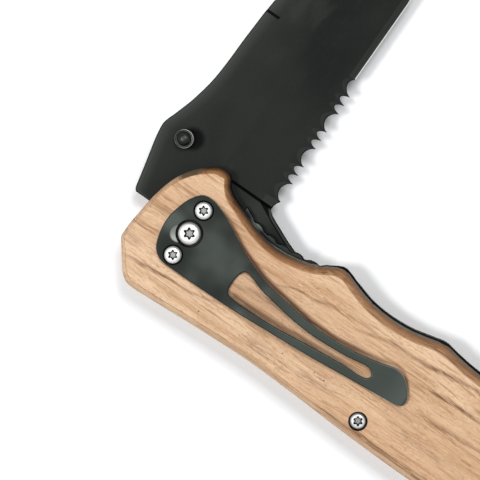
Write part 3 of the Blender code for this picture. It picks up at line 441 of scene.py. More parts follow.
# Camera, lights and floor
camera_place = (0.0230, 0.0259, 0.5750)
camera_aim = (0.01082, 0.00568, 0.01508)
image_up = (-0.574, 0.819, 0.0)
image_right = (0.819, 0.574, 0.0)
lens = 175.0
sensor = 36.0
nearest_seen = 0.01
surrounding_brightness = 0.48
floor_half = 4.0
floor_drop = 0.02 * MM

# Lamps: turn in the image, elevation, distance, size and power
lamps = {
    "key": (184 * DEGREE, 68 * DEGREE, 1.0, 0.18, 4.6),
    "back_fill": (60 * DEGREE, 69 * DEGREE, 1.2, 0.3, 6.0),
}


def lerp(start, end, share):
    """Return the value at a share of the way from one to another."""
    return start + (end - start) * share


def ramp(value, low, high):
    """Return how far a value is from one to another, held between 0 and 1."""
    return min(max((value - low) / (high - low), 0), 1)


def even_steps(start, end, count):
    """Return evenly spaced values from one to another, with both of them."""
    return [start + (end - start) * i / count for i in range(count + 1)]


def to_linear(red, green, blue):
    """Turn a colour from 0 to 255 a channel, as on a screen, into linear values."""
    shares = [channel / 255 for channel in (red, green, blue)]
    values = [share / 12.92 if share <= 0.04045 else ((share + 0.055) / 1.055) ** 2.4 for share in shares]
    return (*values, 1.0)


class Look:
    """A material in the making: its nodes, and the colour that its paints have built up."""

    def __init__(self, name, metallic, roughness, specular=0.5):
        """Start a Principled material with its constants and its coordinates."""
        self.material = bpy.data.materials.new(name)
        self.material.use_nodes = True
        self.tree = self.material.node_tree
        self.shader = self.tree.nodes["Principled BSDF"]
        self.shader.inputs["Metallic"].default_value = metallic
        self.shader.inputs["Roughness"].default_value = roughness
        self.shader.inputs["Specular IOR Level"].default_value = specular
        coordinates = self.node("ShaderNodeTexCoord").outputs
        self.place = coordinates["Object"]
        self.normal = coordinates["Normal"]
        self.colour = None

    def node(self, kind, inputs=None, **settings):
        """Add a node with its settings, and its inputs as values or as links."""
        made = self.tree.nodes.new(kind)
        for key, value in settings.items():
            setattr(made, key, value)
        for key, value in (inputs or {}).items():
            if isinstance(value, bpy.types.NodeSocket):
                self.tree.links.new(value, made.inputs[key])
            else:
                made.inputs[key].default_value = value
        return made

    def combine(self, operation, first, *others):
        """Return a sum over its values, taken in order."""
        for value in others or (0.0,):
            first = self.node("ShaderNodeMath", {0: first, 1: value}, operation=operation).outputs[0]
        return first

    def times(self, *values):
        """Return the product of its values."""
        return self.combine("MULTIPLY", *values)

    def spread(self, value, low, high, new_low=0.0, new_high=1.0, way="SMOOTHSTEP"):
        """Return a value moved from one range to another, held inside it."""
        inputs = {"Value": value, "From Min": low, "From Max": high, "To Min": new_low, "To Max": new_high}
        return self.node("ShaderNodeMapRange", inputs, interpolation_type=way).outputs[0]

    def attribute(self, name):
        """Return a value stored on the piece's faces."""
        return self.node("ShaderNodeAttribute", attribute_name=name).outputs["Fac"]

    def axis(self, name, vector=None):
        """Return one coordinate of the place, or of another vector."""
        vector = self.place if vector is None else vector
        return self.node("ShaderNodeSeparateXYZ", {"Vector": vector}).outputs[name]

    def slope(self):
        """Return 0 on faces that look up or down, and 1 on upright walls."""
        return self.combine("SUBTRACT", 1.0, self.combine("ABSOLUTE", self.axis("Z", self.normal)))

    def scaled(self, vector, scale, offset=0.0):
        """Return coordinates scaled along each axis and moved along the first."""
        inputs = {"Vector": vector, "Scale": scale, "Location": (offset, 0, 0)}
        return self.node("ShaderNodeMapping", inputs).outputs[0]

    def noise(self, vector, scale, offset=0.0, detail=2.0, roughness=0.5):
        """Return a noise pattern between 0 and 1."""
        inputs = {"Vector": self.scaled(vector, scale, offset), "Scale": 1.0, "Detail": detail,
                  "Roughness": roughness}
        return self.node("ShaderNodeTexNoise", inputs).outputs[0]

    def disc(self, x, y, inner, outer, vector=None):
        """Return 1 within a distance of a place seen from above, falling to 0 at another."""
        vector = self.place if vector is None else vector
        flat = self.node("ShaderNodeVectorMath", {0: vector, 1: (1, 1, 0)}, operation="MULTIPLY").outputs[0]
        gap = self.node("ShaderNodeVectorMath", {0: flat, 1: (x, y, 0)}, operation="DISTANCE")
        return self.spread(gap.outputs["Value"], inner, outer, 1.0, 0.0)

    def run(self, axis, shift=0.0):
        """Return how far along the streaks' run a coordinate lies."""
        return self.spread(self.axis(axis), streak_low * MM - shift, streak_high * MM - shift, way="LINEAR")

    def streak(self, rows, along, across):
        """Return the strength of one placed streak, which follows its rows."""
        made = self.node("ShaderNodeValToRGB", {"Fac": along})
        elements = made.color_ramp.elements
        for i, (place, side, half, strength) in enumerate(rows):
            position = (place - streak_low) / (streak_high - streak_low)
            element = elements[i] if i < 2 else elements.new(position)
            element.position = position
            element.color = ((side + streak_side) / (2 * streak_side), half / streak_widest, strength, 1.0)
        parts = self.node("ShaderNodeSeparateColor", {"Color": made.outputs["Color"]}).outputs
        middle = self.node("ShaderNodeMath", {0: parts[0], 1: 2 * streak_side * MM, 2: -streak_side * MM},
                           operation="MULTIPLY_ADD").outputs[0]
        gap = self.combine("ABSOLUTE", self.combine("SUBTRACT", across, middle))
        return self.spread(gap, 0.0, self.times(parts[1], streak_widest * MM), parts[2], 0.0)

    def streaks(self, many, along, across):
        """Return the strength of several streaks, the strongest where they meet."""
        return self.combine("MAXIMUM", *[self.streak(rows, along, across) for rows in many])

    def mix(self, share, first, second, way="MIX"):
        """Return a mix of two colours."""
        return self.node("ShaderNodeMix", {0: share, 6: first, 7: second}, data_type="RGBA",
                         blend_type=way, clamp_factor=True).outputs[2]

    def paint(self, share, tone, strength=1.0):
        """Lay a tone over the colour, by a share times a strength."""
        share = share if strength == 1.0 else self.times(share, strength)
        self.colour = self.mix(share, self.colour, to_linear(*tone))

    def ground(self, share, dark, light):
        """Start the colour as a mix of two tones."""
        self.colour = self.mix(share, to_linear(*dark), to_linear(*light))

    def lay(self, pattern, low, high, strength, tone):
        """Lay a tone over the colour where a pattern goes from one value to another."""
        self.paint(self.spread(pattern, low, high, 0.0, strength), tone)

    def shade(self, share, tint):
        """Multiply the colour by a tint, by a share."""
        self.colour = self.mix(share, self.colour, tint, "MULTIPLY")

    def feed(self, socket, value):
        """Link a value to one of the shader's inputs."""
        self.tree.links.new(value, self.shader.inputs[socket])

    def bump(self, height, strength, distance):
        """Drive the shader's normal from a height pattern."""
        inputs = {"Height": height, "Strength": strength, "Distance": distance}
        self.feed("Normal", self.node("ShaderNodeBump", inputs).outputs[0])

    def done(self):
        """Give the shader its colour and return the material."""
        self.feed("Base Color", self.colour)
        return self.material


def wood_grain(look):
    """Return coordinates bent in waves, as the grain runs, and the small part of the bend."""
    slow, quick = (look.combine("SUBTRACT", look.noise(look.place, (along, across, across), offset), 0.5)
                   for along, across, offset in grain_waves)
    small = look.times(quick, quick_wave)
    wave = look.combine("ADD", look.times(slow, slow_wave), small)
    shift = look.node("ShaderNodeCombineXYZ", {"Y": wave, "Z": wave}).outputs[0]
    return look.node("ShaderNodeVectorMath", {0: look.place, 1: shift}, operation="ADD").outputs[0], small


def wood_tone(look):
    """Paint the flat wood's bands, lines and pores; return its height and its lines."""
    grain, small = wood_grain(look)
    broad, band, line, thin, fine = (look.noise(grain, (along, across, across), *rest)
                                     for along, across, *rest in grain_patterns)
    mottle = look.noise(look.place, (1300, 2600, 2600), 1.7, 2.0, 0.6)
    look.ground(look.spread(broad, 0.36, 0.64), (199, 161, 126), (214, 181, 148))
    look.lay(band, 0.50, 0.70, 0.55, (160, 117, 76))
    look.lay(line, 0.51, 0.70, 0.60, (136, 93, 56))
    look.lay(thin, 0.57, 0.66, 0.30, (122, 80, 46))
    look.lay(fine, 0.50, 0.70, 0.32, (148, 105, 68))
    look.lay(fine, 0.46, 0.30, 0.45, (230, 197, 158))
    look.lay(mottle, 0.52, 0.70, 0.22, (150, 108, 72))
    cells = look.node("ShaderNodeTexVoronoi",
                      {"Vector": look.scaled(grain, (560, 3600, 3600)), "Scale": 1.0, "Randomness": 1.0},
                      feature="F1").outputs["Distance"]
    crowd = look.noise(look.place, (80, 260, 260), 0.9)
    pores = look.times(look.spread(cells, 0.14, 0.36, 1.0, 0.0), look.spread(crowd, 0.42, 0.62, 0.12, 0.5))
    look.paint(pores, (122, 82, 52))
    add_marks(look, grain, small, line, fine)
    return look.combine("SUBTRACT", fine, look.times(pores, 0.8)), line


def add_marks(look, grain, small, line, fine):
    """Paint the near plate's placed streaks and flecks, and the clip's painted shadows on it."""
    along = look.run("X", streak_shift)
    across = look.combine("ADD", look.axis("Y"), small)
    near = look.spread(look.axis("Z"), near_scale_low - MM, near_scale_low)
    fibre = look.times(look.spread(line, 0.30, 0.62, 0.5, 1.0), look.spread(fine, 0.34, 0.58, 0.5, 1.1))
    look.paint(look.times(look.streak(slot_shade, along, across), near), (142, 92, 52))
    look.paint(look.times(look.streaks(clip_edge_shades, along, across), near), (84, 50, 22))
    look.paint(look.times(look.streaks(wood_streaks, along, across), fibre, near), (108, 69, 36))
    flecks = look.combine("MAXIMUM", *[look.disc(*fleck, grain) for fleck in wood_flecks])
    look.paint(look.times(flecks, near), (100, 66, 40))


def wood_rim(look, line):
    """Darken the wood's bevels and walls, the belly-side bevels partly by the end grain's darker tone and
    partly with painted shade, and draw a thin line where each starts.
    """
    slope = look.slope()
    along = look.axis("X")
    # Painted shade on the belly-side bevels, darker lower down and by the thumb, partly the end grain's
    # darker tone
    belly = look.times(look.spread(slope, 0.05, 0.22),
                       look.spread(look.axis("Y", look.normal), 0.02, 0.30),
                       look.spread(along, *rim_nose_run, 0.2, 1.0))
    high = look.mix(look.spread(line, 0.35, 0.65), *rim_high_tints)
    thumb = look.spread(along, *rim_thumb_run)
    high = look.mix(look.times(thumb, 0.65), high, rim_thumb_tint)
    low = look.mix(thumb, *rim_low_tints)
    climb = look.spread(look.axis("Z"), near_scale_high - 0.9 * bevel_depth,
                        near_scale_high - 0.1 * bevel_depth)
    look.shade(belly, look.mix(climb, low, high))
    # Painted shade: a dark patch on the bevel at the top of the nose
    look.paint(look.times(look.disc(*nose_bevel_shade_spot), look.spread(slope, 0.03, 0.12)), (66, 56, 42), 0.85)
    crease = look.times(look.spread(slope, 0.004, 0.03), look.spread(slope, 0.10, 0.20, 1.0, 0.0), 0.8)
    wall = look.times(look.spread(slope, 0.55, 0.8), 0.7)
    look.shade(look.combine("MAXIMUM", crease, wall), crease_tint)


def make_wood():
    """Return light wood with wavy streaks along the handle, and painted shadow in the screw seats and round
    the pivot.
    """
    look = Look("wood_oiled", 0.0, 0.5, 0.25)
    height, line = wood_tone(look)
    wood_rim(look, line)
    # Painted shadow: near-black rings in the screw seats and round the pivot, where the gaps by the heads
    # fall dark
    seats = [look.disc(*centre, body_counterbore_radius, body_counterbore_radius + gap_shadow_soft / 2)
             for centre in screw_places().values()]
    seats.append(look.disc(0.0, 0.0, pivot_shadow_radius - gap_shadow_soft, pivot_shadow_radius))
    look.paint(look.combine("MAXIMUM", *seats), (6, 5, 4))
    look.feed("Roughness", look.spread(line, 0.3, 0.8, 0.46, 0.62))
    look.bump(height, 0.4, wood_bump)
    return look.done()


def coated(name, metallic, roughness, specular, dark, light, patch_scale, grain_scale, bump):
    """Start a dark coated metal, with soft patches and a fine satin grain."""
    look = Look(name, metallic, roughness, specular)
    patch = look.noise(look.place, (patch_scale,) * 3)
    grain = look.noise(look.place, (grain_scale,) * 3, 0.0, 3.0, 0.6)
    look.ground(look.spread(patch, 0.3, 0.7), dark, light)
    look.lay(grain, 0.2, 0.8, 0.3, dark)
    wear = look.spread(patch, 0.3, 0.75, roughness + 0.04, roughness - 0.05)
    look.feed("Roughness", look.combine("ADD", wear, look.spread(grain, 0.2, 0.8, -0.04, 0.04)))
    look.bump(grain, bump, coat_bump)
    return look


def make_liner_steel():
    """Return the liners' dark steel, with painted highlights beside the wood and on the lock bar by the
    thumb, and painted shade toward the back and on its walls.
    """
    look = coated("liner_oxide", 0.85, 0.36, 0.2, (20, 22, 21), (34, 37, 35), 300, 4000, 0.2)
    # Painted shade: the liners go near black toward the back
    look.lay(look.axis("X"), *liner_shade_run, 0.8, (4, 4, 4))
    # Painted highlight on the lock bar's top face by the thumb
    look.paint(look.disc(*bar_highlight_spot), (84, 92, 88), 0.8)
    wood = handle_outline()
    # Painted highlights: a light line along the liner's edge beside the wood, and a strip on the lock bar
    # by the thumb
    line = [(x, edges_at(wood, x * MM)[1] / MM, 0.3, 0.5) for x in liner_highlight_places]
    bar_highlight = [(x, edges_at(wood, x * MM)[1] / MM + 0.9, 0.9, 0.2) for x in bar_highlight_places]
    bar_highlight.append((33, bar_highlight[-1][1], 0.5, 0.0))
    for rows, tone in ((line, (150, 160, 156)), (bar_highlight, (84, 92, 88))):
        look.paint(look.streak(rows, look.run("X"), look.axis("Y")), tone)
    # Painted shade: the upright walls go near black
    look.lay(look.slope(), 0.01, 0.05, 1.0, (2, 2, 2))
    return look.done()


def make_clip_steel():
    """Return the clip's satin grey steel, with a lighter rim that is partly edge wear and partly painted
    highlight, a bright hollow, a painted shade patch on its bend, and painted shadow round its screw heads.
    """
    look = coated("clip_satin", 0.75, 0.38, 0.15, (28, 31, 29), (62, 67, 63), 75, 5200, 0.2)
    look.lay(look.axis("X"), *clip_arm_run, 0.7, (68, 74, 70))
    # Painted shade: a darker patch where the clip's bend rises
    look.paint(look.disc(*clip_bend_shade_spot), (30, 33, 31), 0.6)
    tail = look.spread(look.axis("X"), *clip_tail_run, 0.0, 0.85)
    look.paint(tail, (61, 66, 63))
    slope = look.slope()
    # Rim painted lighter, partly edge wear and partly painted highlight, brightest toward the tail
    rim = look.times(look.spread(slope, 0.05, 0.25), look.spread(slope, 0.6, 0.8, 0.75, 0.0))
    rim_wear_and_highlight = look.mix(tail, to_linear(84, 91, 88), to_linear(170, 180, 176))
    look.colour = look.mix(rim, look.colour, rim_wear_and_highlight)
    look.paint(look.disc(*clip_front_spot), (63, 68, 64), 0.8)
    look.paint(look.disc(*dimple_place(), 0.75 * dimple_radius, dimple_radius), (120, 125, 119), 0.9)
    # Painted shadow: black rings in the gaps round the pivot head and the clip screws' heads
    reach = pivot_head_radius + clip_pivot_clearance + gap_shadow_soft / 2
    rings = [look.disc(0.0, 0.0, reach, reach + gap_shadow_soft / 3)]
    rings += [look.disc(*centre, clip_counterbore_radius, clip_counterbore_radius + gap_shadow_soft / 2)
              for centre in clip_screw_places().values()]
    look.paint(look.combine("MAXIMUM", *rings), (1, 1, 1))
    return look.done()


def make_stud_coat():
    """Return the thumb stud's black coating, with a painted highlight on the crest of its rim, strongest on
    one side.
    """
    look = coated("stud_black", 0.5, 0.4, 0.5, (22, 24, 22), (34, 36, 34), 400, 6000, 0.15)
    x, y = stud_place
    hole = look.disc(x, y, stud_ring_inner - stud_ring_soft, stud_ring_inner)
    ring = look.times(look.disc(x, y, stud_ring_outer, stud_ring_outer + stud_ring_soft),
                      look.combine("SUBTRACT", 1.0, hole))
    # Painted highlight on the rim's crest, strongest near one side
    crest = look.times(ring, look.spread(look.slope(), 0.35, 0.1))
    side = look.disc(*stud_lit_side_spot)
    look.paint(look.times(crest, look.spread(side, 0.0, 1.0, 0.25, 1.0)), (168, 170, 168))
    return look.done()


def make_blade_coat():
    """Return the blade's matt black coating, with a bare edge, light bevels, a painted highlight along the
    spine, black painted shade in its grooves and outlines, and the stud's painted shadow.
    """
    look = Look("blade_black", 0.0, 0.62, 0.06)
    patch = look.noise(look.place, (60, 40, 60))
    smear = look.noise(look.place, (170, 60, 170), 5.0)
    grain = look.noise(look.place, (5200, 900, 5200), 0.0, 3.0, 0.6)
    look.ground(look.spread(look.axis("X"), *blade_dark_run), (39, 41, 39), (25, 28, 26))
    look.lay(patch, 0.35, 0.70, 0.40, (45, 48, 45))
    look.lay(smear, 0.60, 0.75, 0.20, (61, 64, 61))
    look.lay(grain, 0.40, 0.80, 0.15, (57, 60, 57))
    # Painted highlight: a light band along the spine
    rows = [(y, spine_highlight_inset - spine_at(y * MM) / MM, spine_highlight_half, spine_highlight)
            for y in range(0, 90, 6)]
    look.paint(look.streak(rows, look.run("Y"), look.axis("X")), (64, 67, 64))
    # Painted shadow that the thumb stud casts on the blade
    stud_shadow = look.disc(*stud_shadow_spot)
    look.paint(stud_shadow, (2, 2, 2), 0.95)
    look.paint(look.disc(*handled_spot), (57, 60, 57), 0.45)
    tone = look.attribute("tone")
    bare = look.spread(tone, 0.7, 0.9)
    # Painted highlight on the spine's chamfer, and a lighter edge bevel
    look.lay(tone, 0.0, 0.5, 1.0, (64, 67, 63))
    # Painted shade: black on the plunge, the grooves, the thin lips along the walls and the serrated edge
    look.lay(tone, -0.3, -0.6, 1.0, (1, 1, 1))
    look.paint(bare, (204, 206, 204))
    rough = look.spread(patch, 0.3, 0.7, 0.66, 0.56)
    look.feed("Roughness", look.combine("SUBTRACT", rough, look.times(bare, 0.25)))
    look.bump(grain, 0.25, blade_bump)
    return look.done()


def make_steel(name, bright, dull, metallic, roughness):
    """Return turned steel, darker on one side of a screw's head and in its recess, both painted shade."""
    look = Look(name, metallic, roughness)
    patch = look.noise(look.place, (420, 420, 420))
    scratch = look.noise(look.place, (1800, 9000, 3000))
    look.ground(look.spread(patch, 0.3, 0.75), bright, dull)
    # Painted shade: each head's rim goes grey on the side away from the light
    lit = [look.disc(x - 0.02 * radius, y - 0.11 * radius, 0.86 * radius, 0.98 * radius)
           for (x, y), radius in head_places()]
    look.paint(look.spread(look.combine("MAXIMUM", *lit), 0.0, 1.0, 0.62, 0.0), (112, 115, 112))
    # Painted shade in the recess: a grey floor and near-black walls
    recess = look.attribute("recess")
    look.lay(recess, 0.2, 0.4, 1.0, (150, 152, 150))
    look.lay(recess, 0.7, 0.9, 1.0, (6, 6, 6))
    look.feed("Roughness", look.spread(scratch, 0.3, 0.75, roughness - 0.04, roughness + 0.06))
    look.bump(scratch, 0.06, steel_bump)
    return look.done()


def make_floor():
    """Return the pale floor's material."""
    look = Look("floor_pale", 0.0, 0.9)
    look.colour = look.mix(look.noise(look.place, (3, 3, 3)), *floor_tints)
    return look.done()


def mesh_from(bm):
    """Point the faces outward and turn the bmesh into a mesh."""
    bmesh.ops.recalc_face_normals(bm, faces=bm.faces)
    mesh = bpy.data.meshes.new("mesh")
    bm.to_mesh(mesh)
    bm.free()
    return mesh


def skin_mesh(rings, around=False):
    """Join rings of points into a closed skin, capped at its ends or joined end to start."""
    bm = bmesh.new()
    loops = [[bm.verts.new(point) for point in ring] for ring in rings]
    for lower, upper in zip(loops, loops[1:] + (loops[:1] if around else [])):
        for i in range(max(len(lower), len(upper))):
            corners = [lower[i % len(lower)], lower[(i + 1) % len(lower)],
                       upper[(i + 1) % len(upper)], upper[i % len(upper)]]
            bm.faces.new(list(dict.fromkeys(corners)))
    if not around and len(loops[0]) > 1:
        bm.faces.new(list(reversed(loops[0])))
        bm.faces.new(loops[-1])
    return mesh_from(bm)


def turned_mesh(profile, sides, around=False):
    """Spin a profile of (radius, height) pairs about Z; it ends on Z or joins end to start."""
    rings = [raised(circle(radius, (0, 0), sides if radius else 1), height) for radius, height in profile]
    return skin_mesh(rings, around)


def link_object(name, data):
    """Put an object with its data in the scene."""
    item = bpy.data.objects.new(name, data)
    bpy.context.scene.collection.objects.link(item)
    return item


def add_object(name, mesh, material=None):
    """Put a mesh in the scene."""
    mesh.name = name
    if material is not None:
        mesh.materials.clear()
        mesh.materials.append(material)
    return link_object(name, mesh)


def smooth(mesh):
    """Shade the small faces smoothly up to an angle and leave the large flat ones flat."""
    mesh.shade_smooth()
    mesh.set_sharp_from_angle(angle=soft_angle)
    for face in mesh.polygons:
        if len(face.vertices) > 4:
            face.use_smooth = False


def dress(piece, body, node):
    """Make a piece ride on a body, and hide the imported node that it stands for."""
    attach(piece, body)
    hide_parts(node)


def finish(piece, body, node):
    """Make a piece's cuts part of its mesh, smooth it and dress it."""
    if piece.modifiers:
        settle(piece)
    smooth(piece.data)
    dress(piece, body, node)


def spline_point(p0, p1, p2, p3, share):
    """Return a point between p1 and p2 on a centripetal Catmull-Rom spline."""
    t1 = math.sqrt((p1 - p0).length)
    t2 = t1 + math.sqrt((p2 - p1).length)
    t3 = t2 + math.sqrt((p3 - p2).length)
    t = lerp(t1, t2, share)
    a1 = p0.lerp(p1, t / t1)
    a2 = p1.lerp(p2, share)
    a3 = p2.lerp(p3, (t - t2) / (t3 - t2))
    return a1.lerp(a2, t / t2).lerp(a2.lerp(a3, (t - t1) / (t3 - t1)), share)


def closed_spline(points, steps=outline_steps):
    """Sample a closed smooth curve through the points."""
    count = len(points)
    samples = []
    for i in range(count):
        corners = [points[(i + k - 1) % count] for k in range(4)]
        samples += [spline_point(*corners, k / steps) for k in range(steps)]
    return samples


def outward_normals(points):
    """Return the outward direction at each point of a counter-clockwise loop."""
    normals = []
    for before, point, after in zip(points[-1:] + points, points, points[1:] + points[:1]):
        along = ((point - before).normalized() + (after - point).normalized()).normalized()
        normals.append(Vector((along.y, -along.x)))
    return normals


def offset_points(points, distance):
    """Move the points of a counter-clockwise loop outward."""
    return [point + normal * distance for point, normal in zip(points, outward_normals(points))]


def table_value(table, place):
    """Read a table of (place, value) pairs as a smooth curve."""
    last = len(table) - 1
    if not table[0][0] < place < table[last][0]:
        return table[0 if place <= table[0][0] else last][1]
    i = max(k for k in range(last) if table[k][0] <= place)
    width = table[i + 1][0] - table[i][0]
    share = (place - table[i][0]) / width

    def slope(k):
        """Return the curve's slope at an entry, from its neighbours."""
        left, right = table[max(k - 1, 0)], table[min(k + 1, last)]
        return (right[1] - left[1]) / (right[0] - left[0])

    square = share * share
    cube = square * share
    return ((2 * cube - 3 * square + 1) * table[i][1] + (3 * square - 2 * cube) * table[i + 1][1]
            + (cube - 2 * square + share) * width * slope(i) + (cube - square) * width * slope(i + 1))


def circle(radius, centre, sides):
    """Return a circle's points, counter-clockwise."""
    turns = (2 * math.pi * i / sides for i in range(sides))
    return [Vector((centre[0] + radius * math.cos(t), centre[1] + radius * math.sin(t))) for t in turns]


def raised(outline, height):
    """Lift a flat outline to a height."""
    return [(point.x, point.y, height) for point in outline]


def soft_prism(outline, low, high, edge):
    """Extrude a flat outline between two heights, its edges rounded."""
    rings = [raised(offset_points(outline, -edge * inward), low + edge * rise)
             for inward, rise in quarter_turn]
    rings += [[(x, y, low + high - z) for x, y, z in ring] for ring in reversed(rings)]
    return skin_mesh(rings)


def past(low, high):
    """Return two heights moved apart, so that a cut runs past both faces."""
    return low - overrun, high + overrun


def add_turned(name, mesh, material, body, node, centre=(0, 0), seat=0, side=1):
    """Stand a turned mesh on its seat, up (1) or down (-1), and dress it."""
    for vertex in mesh.vertices:
        x, y, z = vertex.co
        vertex.co = (centre[0] + x, centre[1] + side * y, seat + side * z)
    finish(add_object(name, mesh, material), body, node)


def cut(piece, mesh, place=(0, 0, 0), turn=0.0):
    """Cut a mesh from a piece with a Boolean modifier."""
    cutter = add_object("cut", mesh)
    cutter.location = place
    cutter.rotation_euler = (0, 0, turn)
    cutter.hide_render = True
    modifier = piece.modifiers.new(cutter.name, "BOOLEAN")
    modifier.operation = "DIFFERENCE"
    modifier.solver = "EXACT"
    modifier.object = cutter


def settle(piece):
    """Make a piece's cuts part of its mesh, and remove what cut it."""
    cutters = [modifier.object for modifier in piece.modifiers]
    depsgraph = bpy.context.evaluated_depsgraph_get()
    mesh = bpy.data.meshes.new_from_object(piece.evaluated_get(depsgraph))
    piece.modifiers.clear()
    piece.data = mesh
    for cutter in cutters:
        bpy.data.objects.remove(cutter, do_unlink=True)
    return mesh


def cut_through(piece, outline, span):
    """Cut an outline from a piece between two heights."""
    cut(piece, skin_mesh([raised(outline, height) for height in span]))


def bore(piece, centre, radius, span, sides=small_sides):
    """Cut a plain round hole between two heights."""
    cut_through(piece, circle(radius, centre, sides), span)


def countersink(piece, centre, radius, floor, face, edge):
    """Cut a round seat down to its floor, with a small bevel where it meets the face."""
    up = 1 if face > floor else -1
    above = face + up * overrun
    profile = [(0, floor), (radius, floor), (radius, face - up * edge), (radius + edge, face),
               (radius + edge, above), (0, above)]
    cut(piece, turned_mesh(profile, small_sides), (*centre, 0))


def handle_points():
    """Return the control points of the wooden plates' outline."""
    return [Vector((along * handle_length - nose_reach, across * handle_width - pivot_above_back))
            for along, across in handle_shares]


def handle_outline(offset=0):
    """Return the handle's outline, moved outward by an offset."""
    return closed_spline(offset_points(handle_points(), offset))


def moved_outline(reach):
    """Return the handle's outline with each point moved outward by its own reach."""
    points = handle_points()
    return closed_spline([point + normal * reach(point, normal)
                          for point, normal in zip(points, outward_normals(points))])


def bevel_reach(point, normal):
    """Return how far the bevel along a wooden plate's rim reaches, which is inward."""
    side = belly_bevel_width if normal.y > 0 else back_bevel_width
    return -(side * normal.y ** 2 + end_bevel_width * normal.x ** 2)


def liner_reach(point, normal):
    """Return how far the liners stand out: proud along the belly and flush elsewhere."""
    climb = ramp(point.x, liner_proud_from, liner_proud_from + liner_proud_run)
    return lerp(liner_proud_least, liner_proud, climb) * (ramp(normal.y, 0, 0.5) if point.x > 0 else 0)


def edges_at(outline, place):
    """Return the outline's lowest and highest Y at a place along the handle."""
    reach = []
    for start, end in zip(outline, outline[1:] + outline[:1]):
        if min(start.x, end.x) <= place <= max(start.x, end.x) and start.x != end.x:
            reach.append(start.lerp(end, (place - start.x) / (end.x - start.x)).y)
    return min(reach), max(reach)


def clip_screw_places():
    """Return the two places beside the pivot where screws stand on both sides."""
    half = clip_screw_pitch / 2
    return {"front": (-clip_screw_setback, half), "back": (-clip_screw_setback, -half)}


def body_screw_places():
    """Return the two places along the back where screws stand on both sides."""
    outline = handle_outline()
    reaches = {"middle": middle_screw_reach, "rear": rear_screw_reach}
    return {label: (reach, edges_at(outline, reach)[0] + body_screw_inset)
            for label, reach in reaches.items()}


def screw_places():
    """Return every place where small screws stand."""
    return {**clip_screw_places(), **body_screw_places()}


def head_places():
    """Return the centre and radius of every near screw head."""
    places = [((0.0, 0.0), pivot_head_radius)]
    places += [(centre, clip_head_radius) for centre in clip_screw_places().values()]
    return places + [(centre, body_head_radius) for centre in body_screw_places().values()]


def stop_place():
    """Return the middle of the stop pin."""
    low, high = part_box("stop_pin")
    return ((low.x + high.x) / 2, (low.y + high.y) / 2)


def scale_rings(inner_face, outer_face, up):
    """Return a wooden plate's rings from its inner face to its bevelled outer face."""
    wide = handle_outline()
    narrow = moved_outline(bevel_reach)
    rings = [raised(offset_points(wide, -wood_edge), inner_face), raised(wide, inner_face + up * wood_edge)]
    for inward, rise in bevel_shares:
        ring = [start.lerp(end, inward) for start, end in zip(wide, narrow)]
        rings.append(raised(ring, outer_face - up * bevel_depth * (1 - rise)))
    return rings


def add_scale(name, material, inner, outer):
    """Make one wooden plate; the far one has more seats, and the opening for the thumb."""
    up = 1 if outer > inner else -1
    span = past(min(inner, outer), max(inner, outer))
    scale = add_object(name, skin_mesh(scale_rings(inner, outer, up)), material)
    bore(scale, (0, 0), barrel_radius + fixed_clearance, span, round_sides)
    seats = list(body_screw_places().values())
    if up < 0:
        seats += clip_screw_places().values()
        countersink(scale, (0, 0), barrel_head_radius + fixed_clearance,
                    barrel_head_height + seat_gap, outer, wood_edge)
        cut_through(scale, cutout_outline(), span)
    for centre in screw_places().values():
        bore(scale, centre, small_bore_radius, span)
    for centre in seats:
        countersink(scale, centre, body_counterbore_radius, outer - up * body_counterbore_depth,
                    outer, wood_edge)
    finish(scale, "handle", name.replace("_wood", ""))


def cutout_outline():
    """Return the outline of the thumb opening."""
    floor = edges_at(handle_outline(), cutout_centre)[1] - cutout_depth
    outline = [Vector((cutout_centre + side * cutout_half_length, handle_width)) for side in (1, -1)]
    outline += [Vector((cutout_centre + cutout_half_length * math.cos(turn),
                        floor + cutout_height * (1 + math.sin(turn))))
                for turn in even_steps(math.pi, 2 * math.pi, arc_steps)]
    return outline


def add_liner(name, material, low, high, lock_side):
    """Make one steel liner."""
    span = past(low, high)
    liner = add_object(name, soft_prism(moved_outline(liner_reach), low, high, liner_edge), material)
    bore(liner, (0, 0), barrel_radius + fixed_clearance, span, round_sides)
    bore(liner, stop_place(), stop_pin_radius + fixed_clearance, span)
    for centre in screw_places().values():
        bore(liner, centre, small_bore_radius, span)
    if lock_side:
        left = lock_bar_front - lock_slot_width
        floor = lock_bar_low - lock_slot_width
        corners = ((left, floor), (lock_bar_root, floor), (lock_bar_root, handle_width),
                   (left, handle_width))
        cut_through(liner, [Vector(corner) for corner in corners], span)
        bore(liner, (lock_bar_root, floor), relief_radius, span)
    else:
        cut_through(liner, cutout_outline(), span)
    finish(liner, "handle", name.replace("_steel", ""))


def lock_bar_outline():
    """Return the lock bar's outline: its slot edge, then its belly edge with thumb notches."""
    wood = handle_outline()
    root = lock_bar_root - seat_gap
    pitch = (jimping_end - jimping_start) / jimping_count
    places = [lock_bar_front] + even_steps(jimping_start, jimping_end, jimping_count * jimping_points)[:-1]
    places += even_steps(jimping_end, root, jimping_points)
    edge = []
    for place in places:
        share = (place - jimping_start) / (jimping_end - jimping_start)
        proud = jimping_proud * table_value(jimping_proud_shares, share)
        proud = lerp(proud, liner_proud, ramp(place, jimping_end, jimping_end + pitch))
        if jimping_start < place < jimping_end:
            proud -= jimping_depth * math.sin(math.pi * (place - jimping_start) / pitch) ** 4
        edge.append(Vector((place, edges_at(wood, place)[1] + proud)))
    steps = round((root - lock_bar_front) / lock_bar_step)
    run = [Vector((x, lock_bar_low)) for x in even_steps(lock_bar_front, root - relief_radius, steps)]
    return run + [Vector((root, lock_bar_low + relief_radius))] + list(reversed(edge))


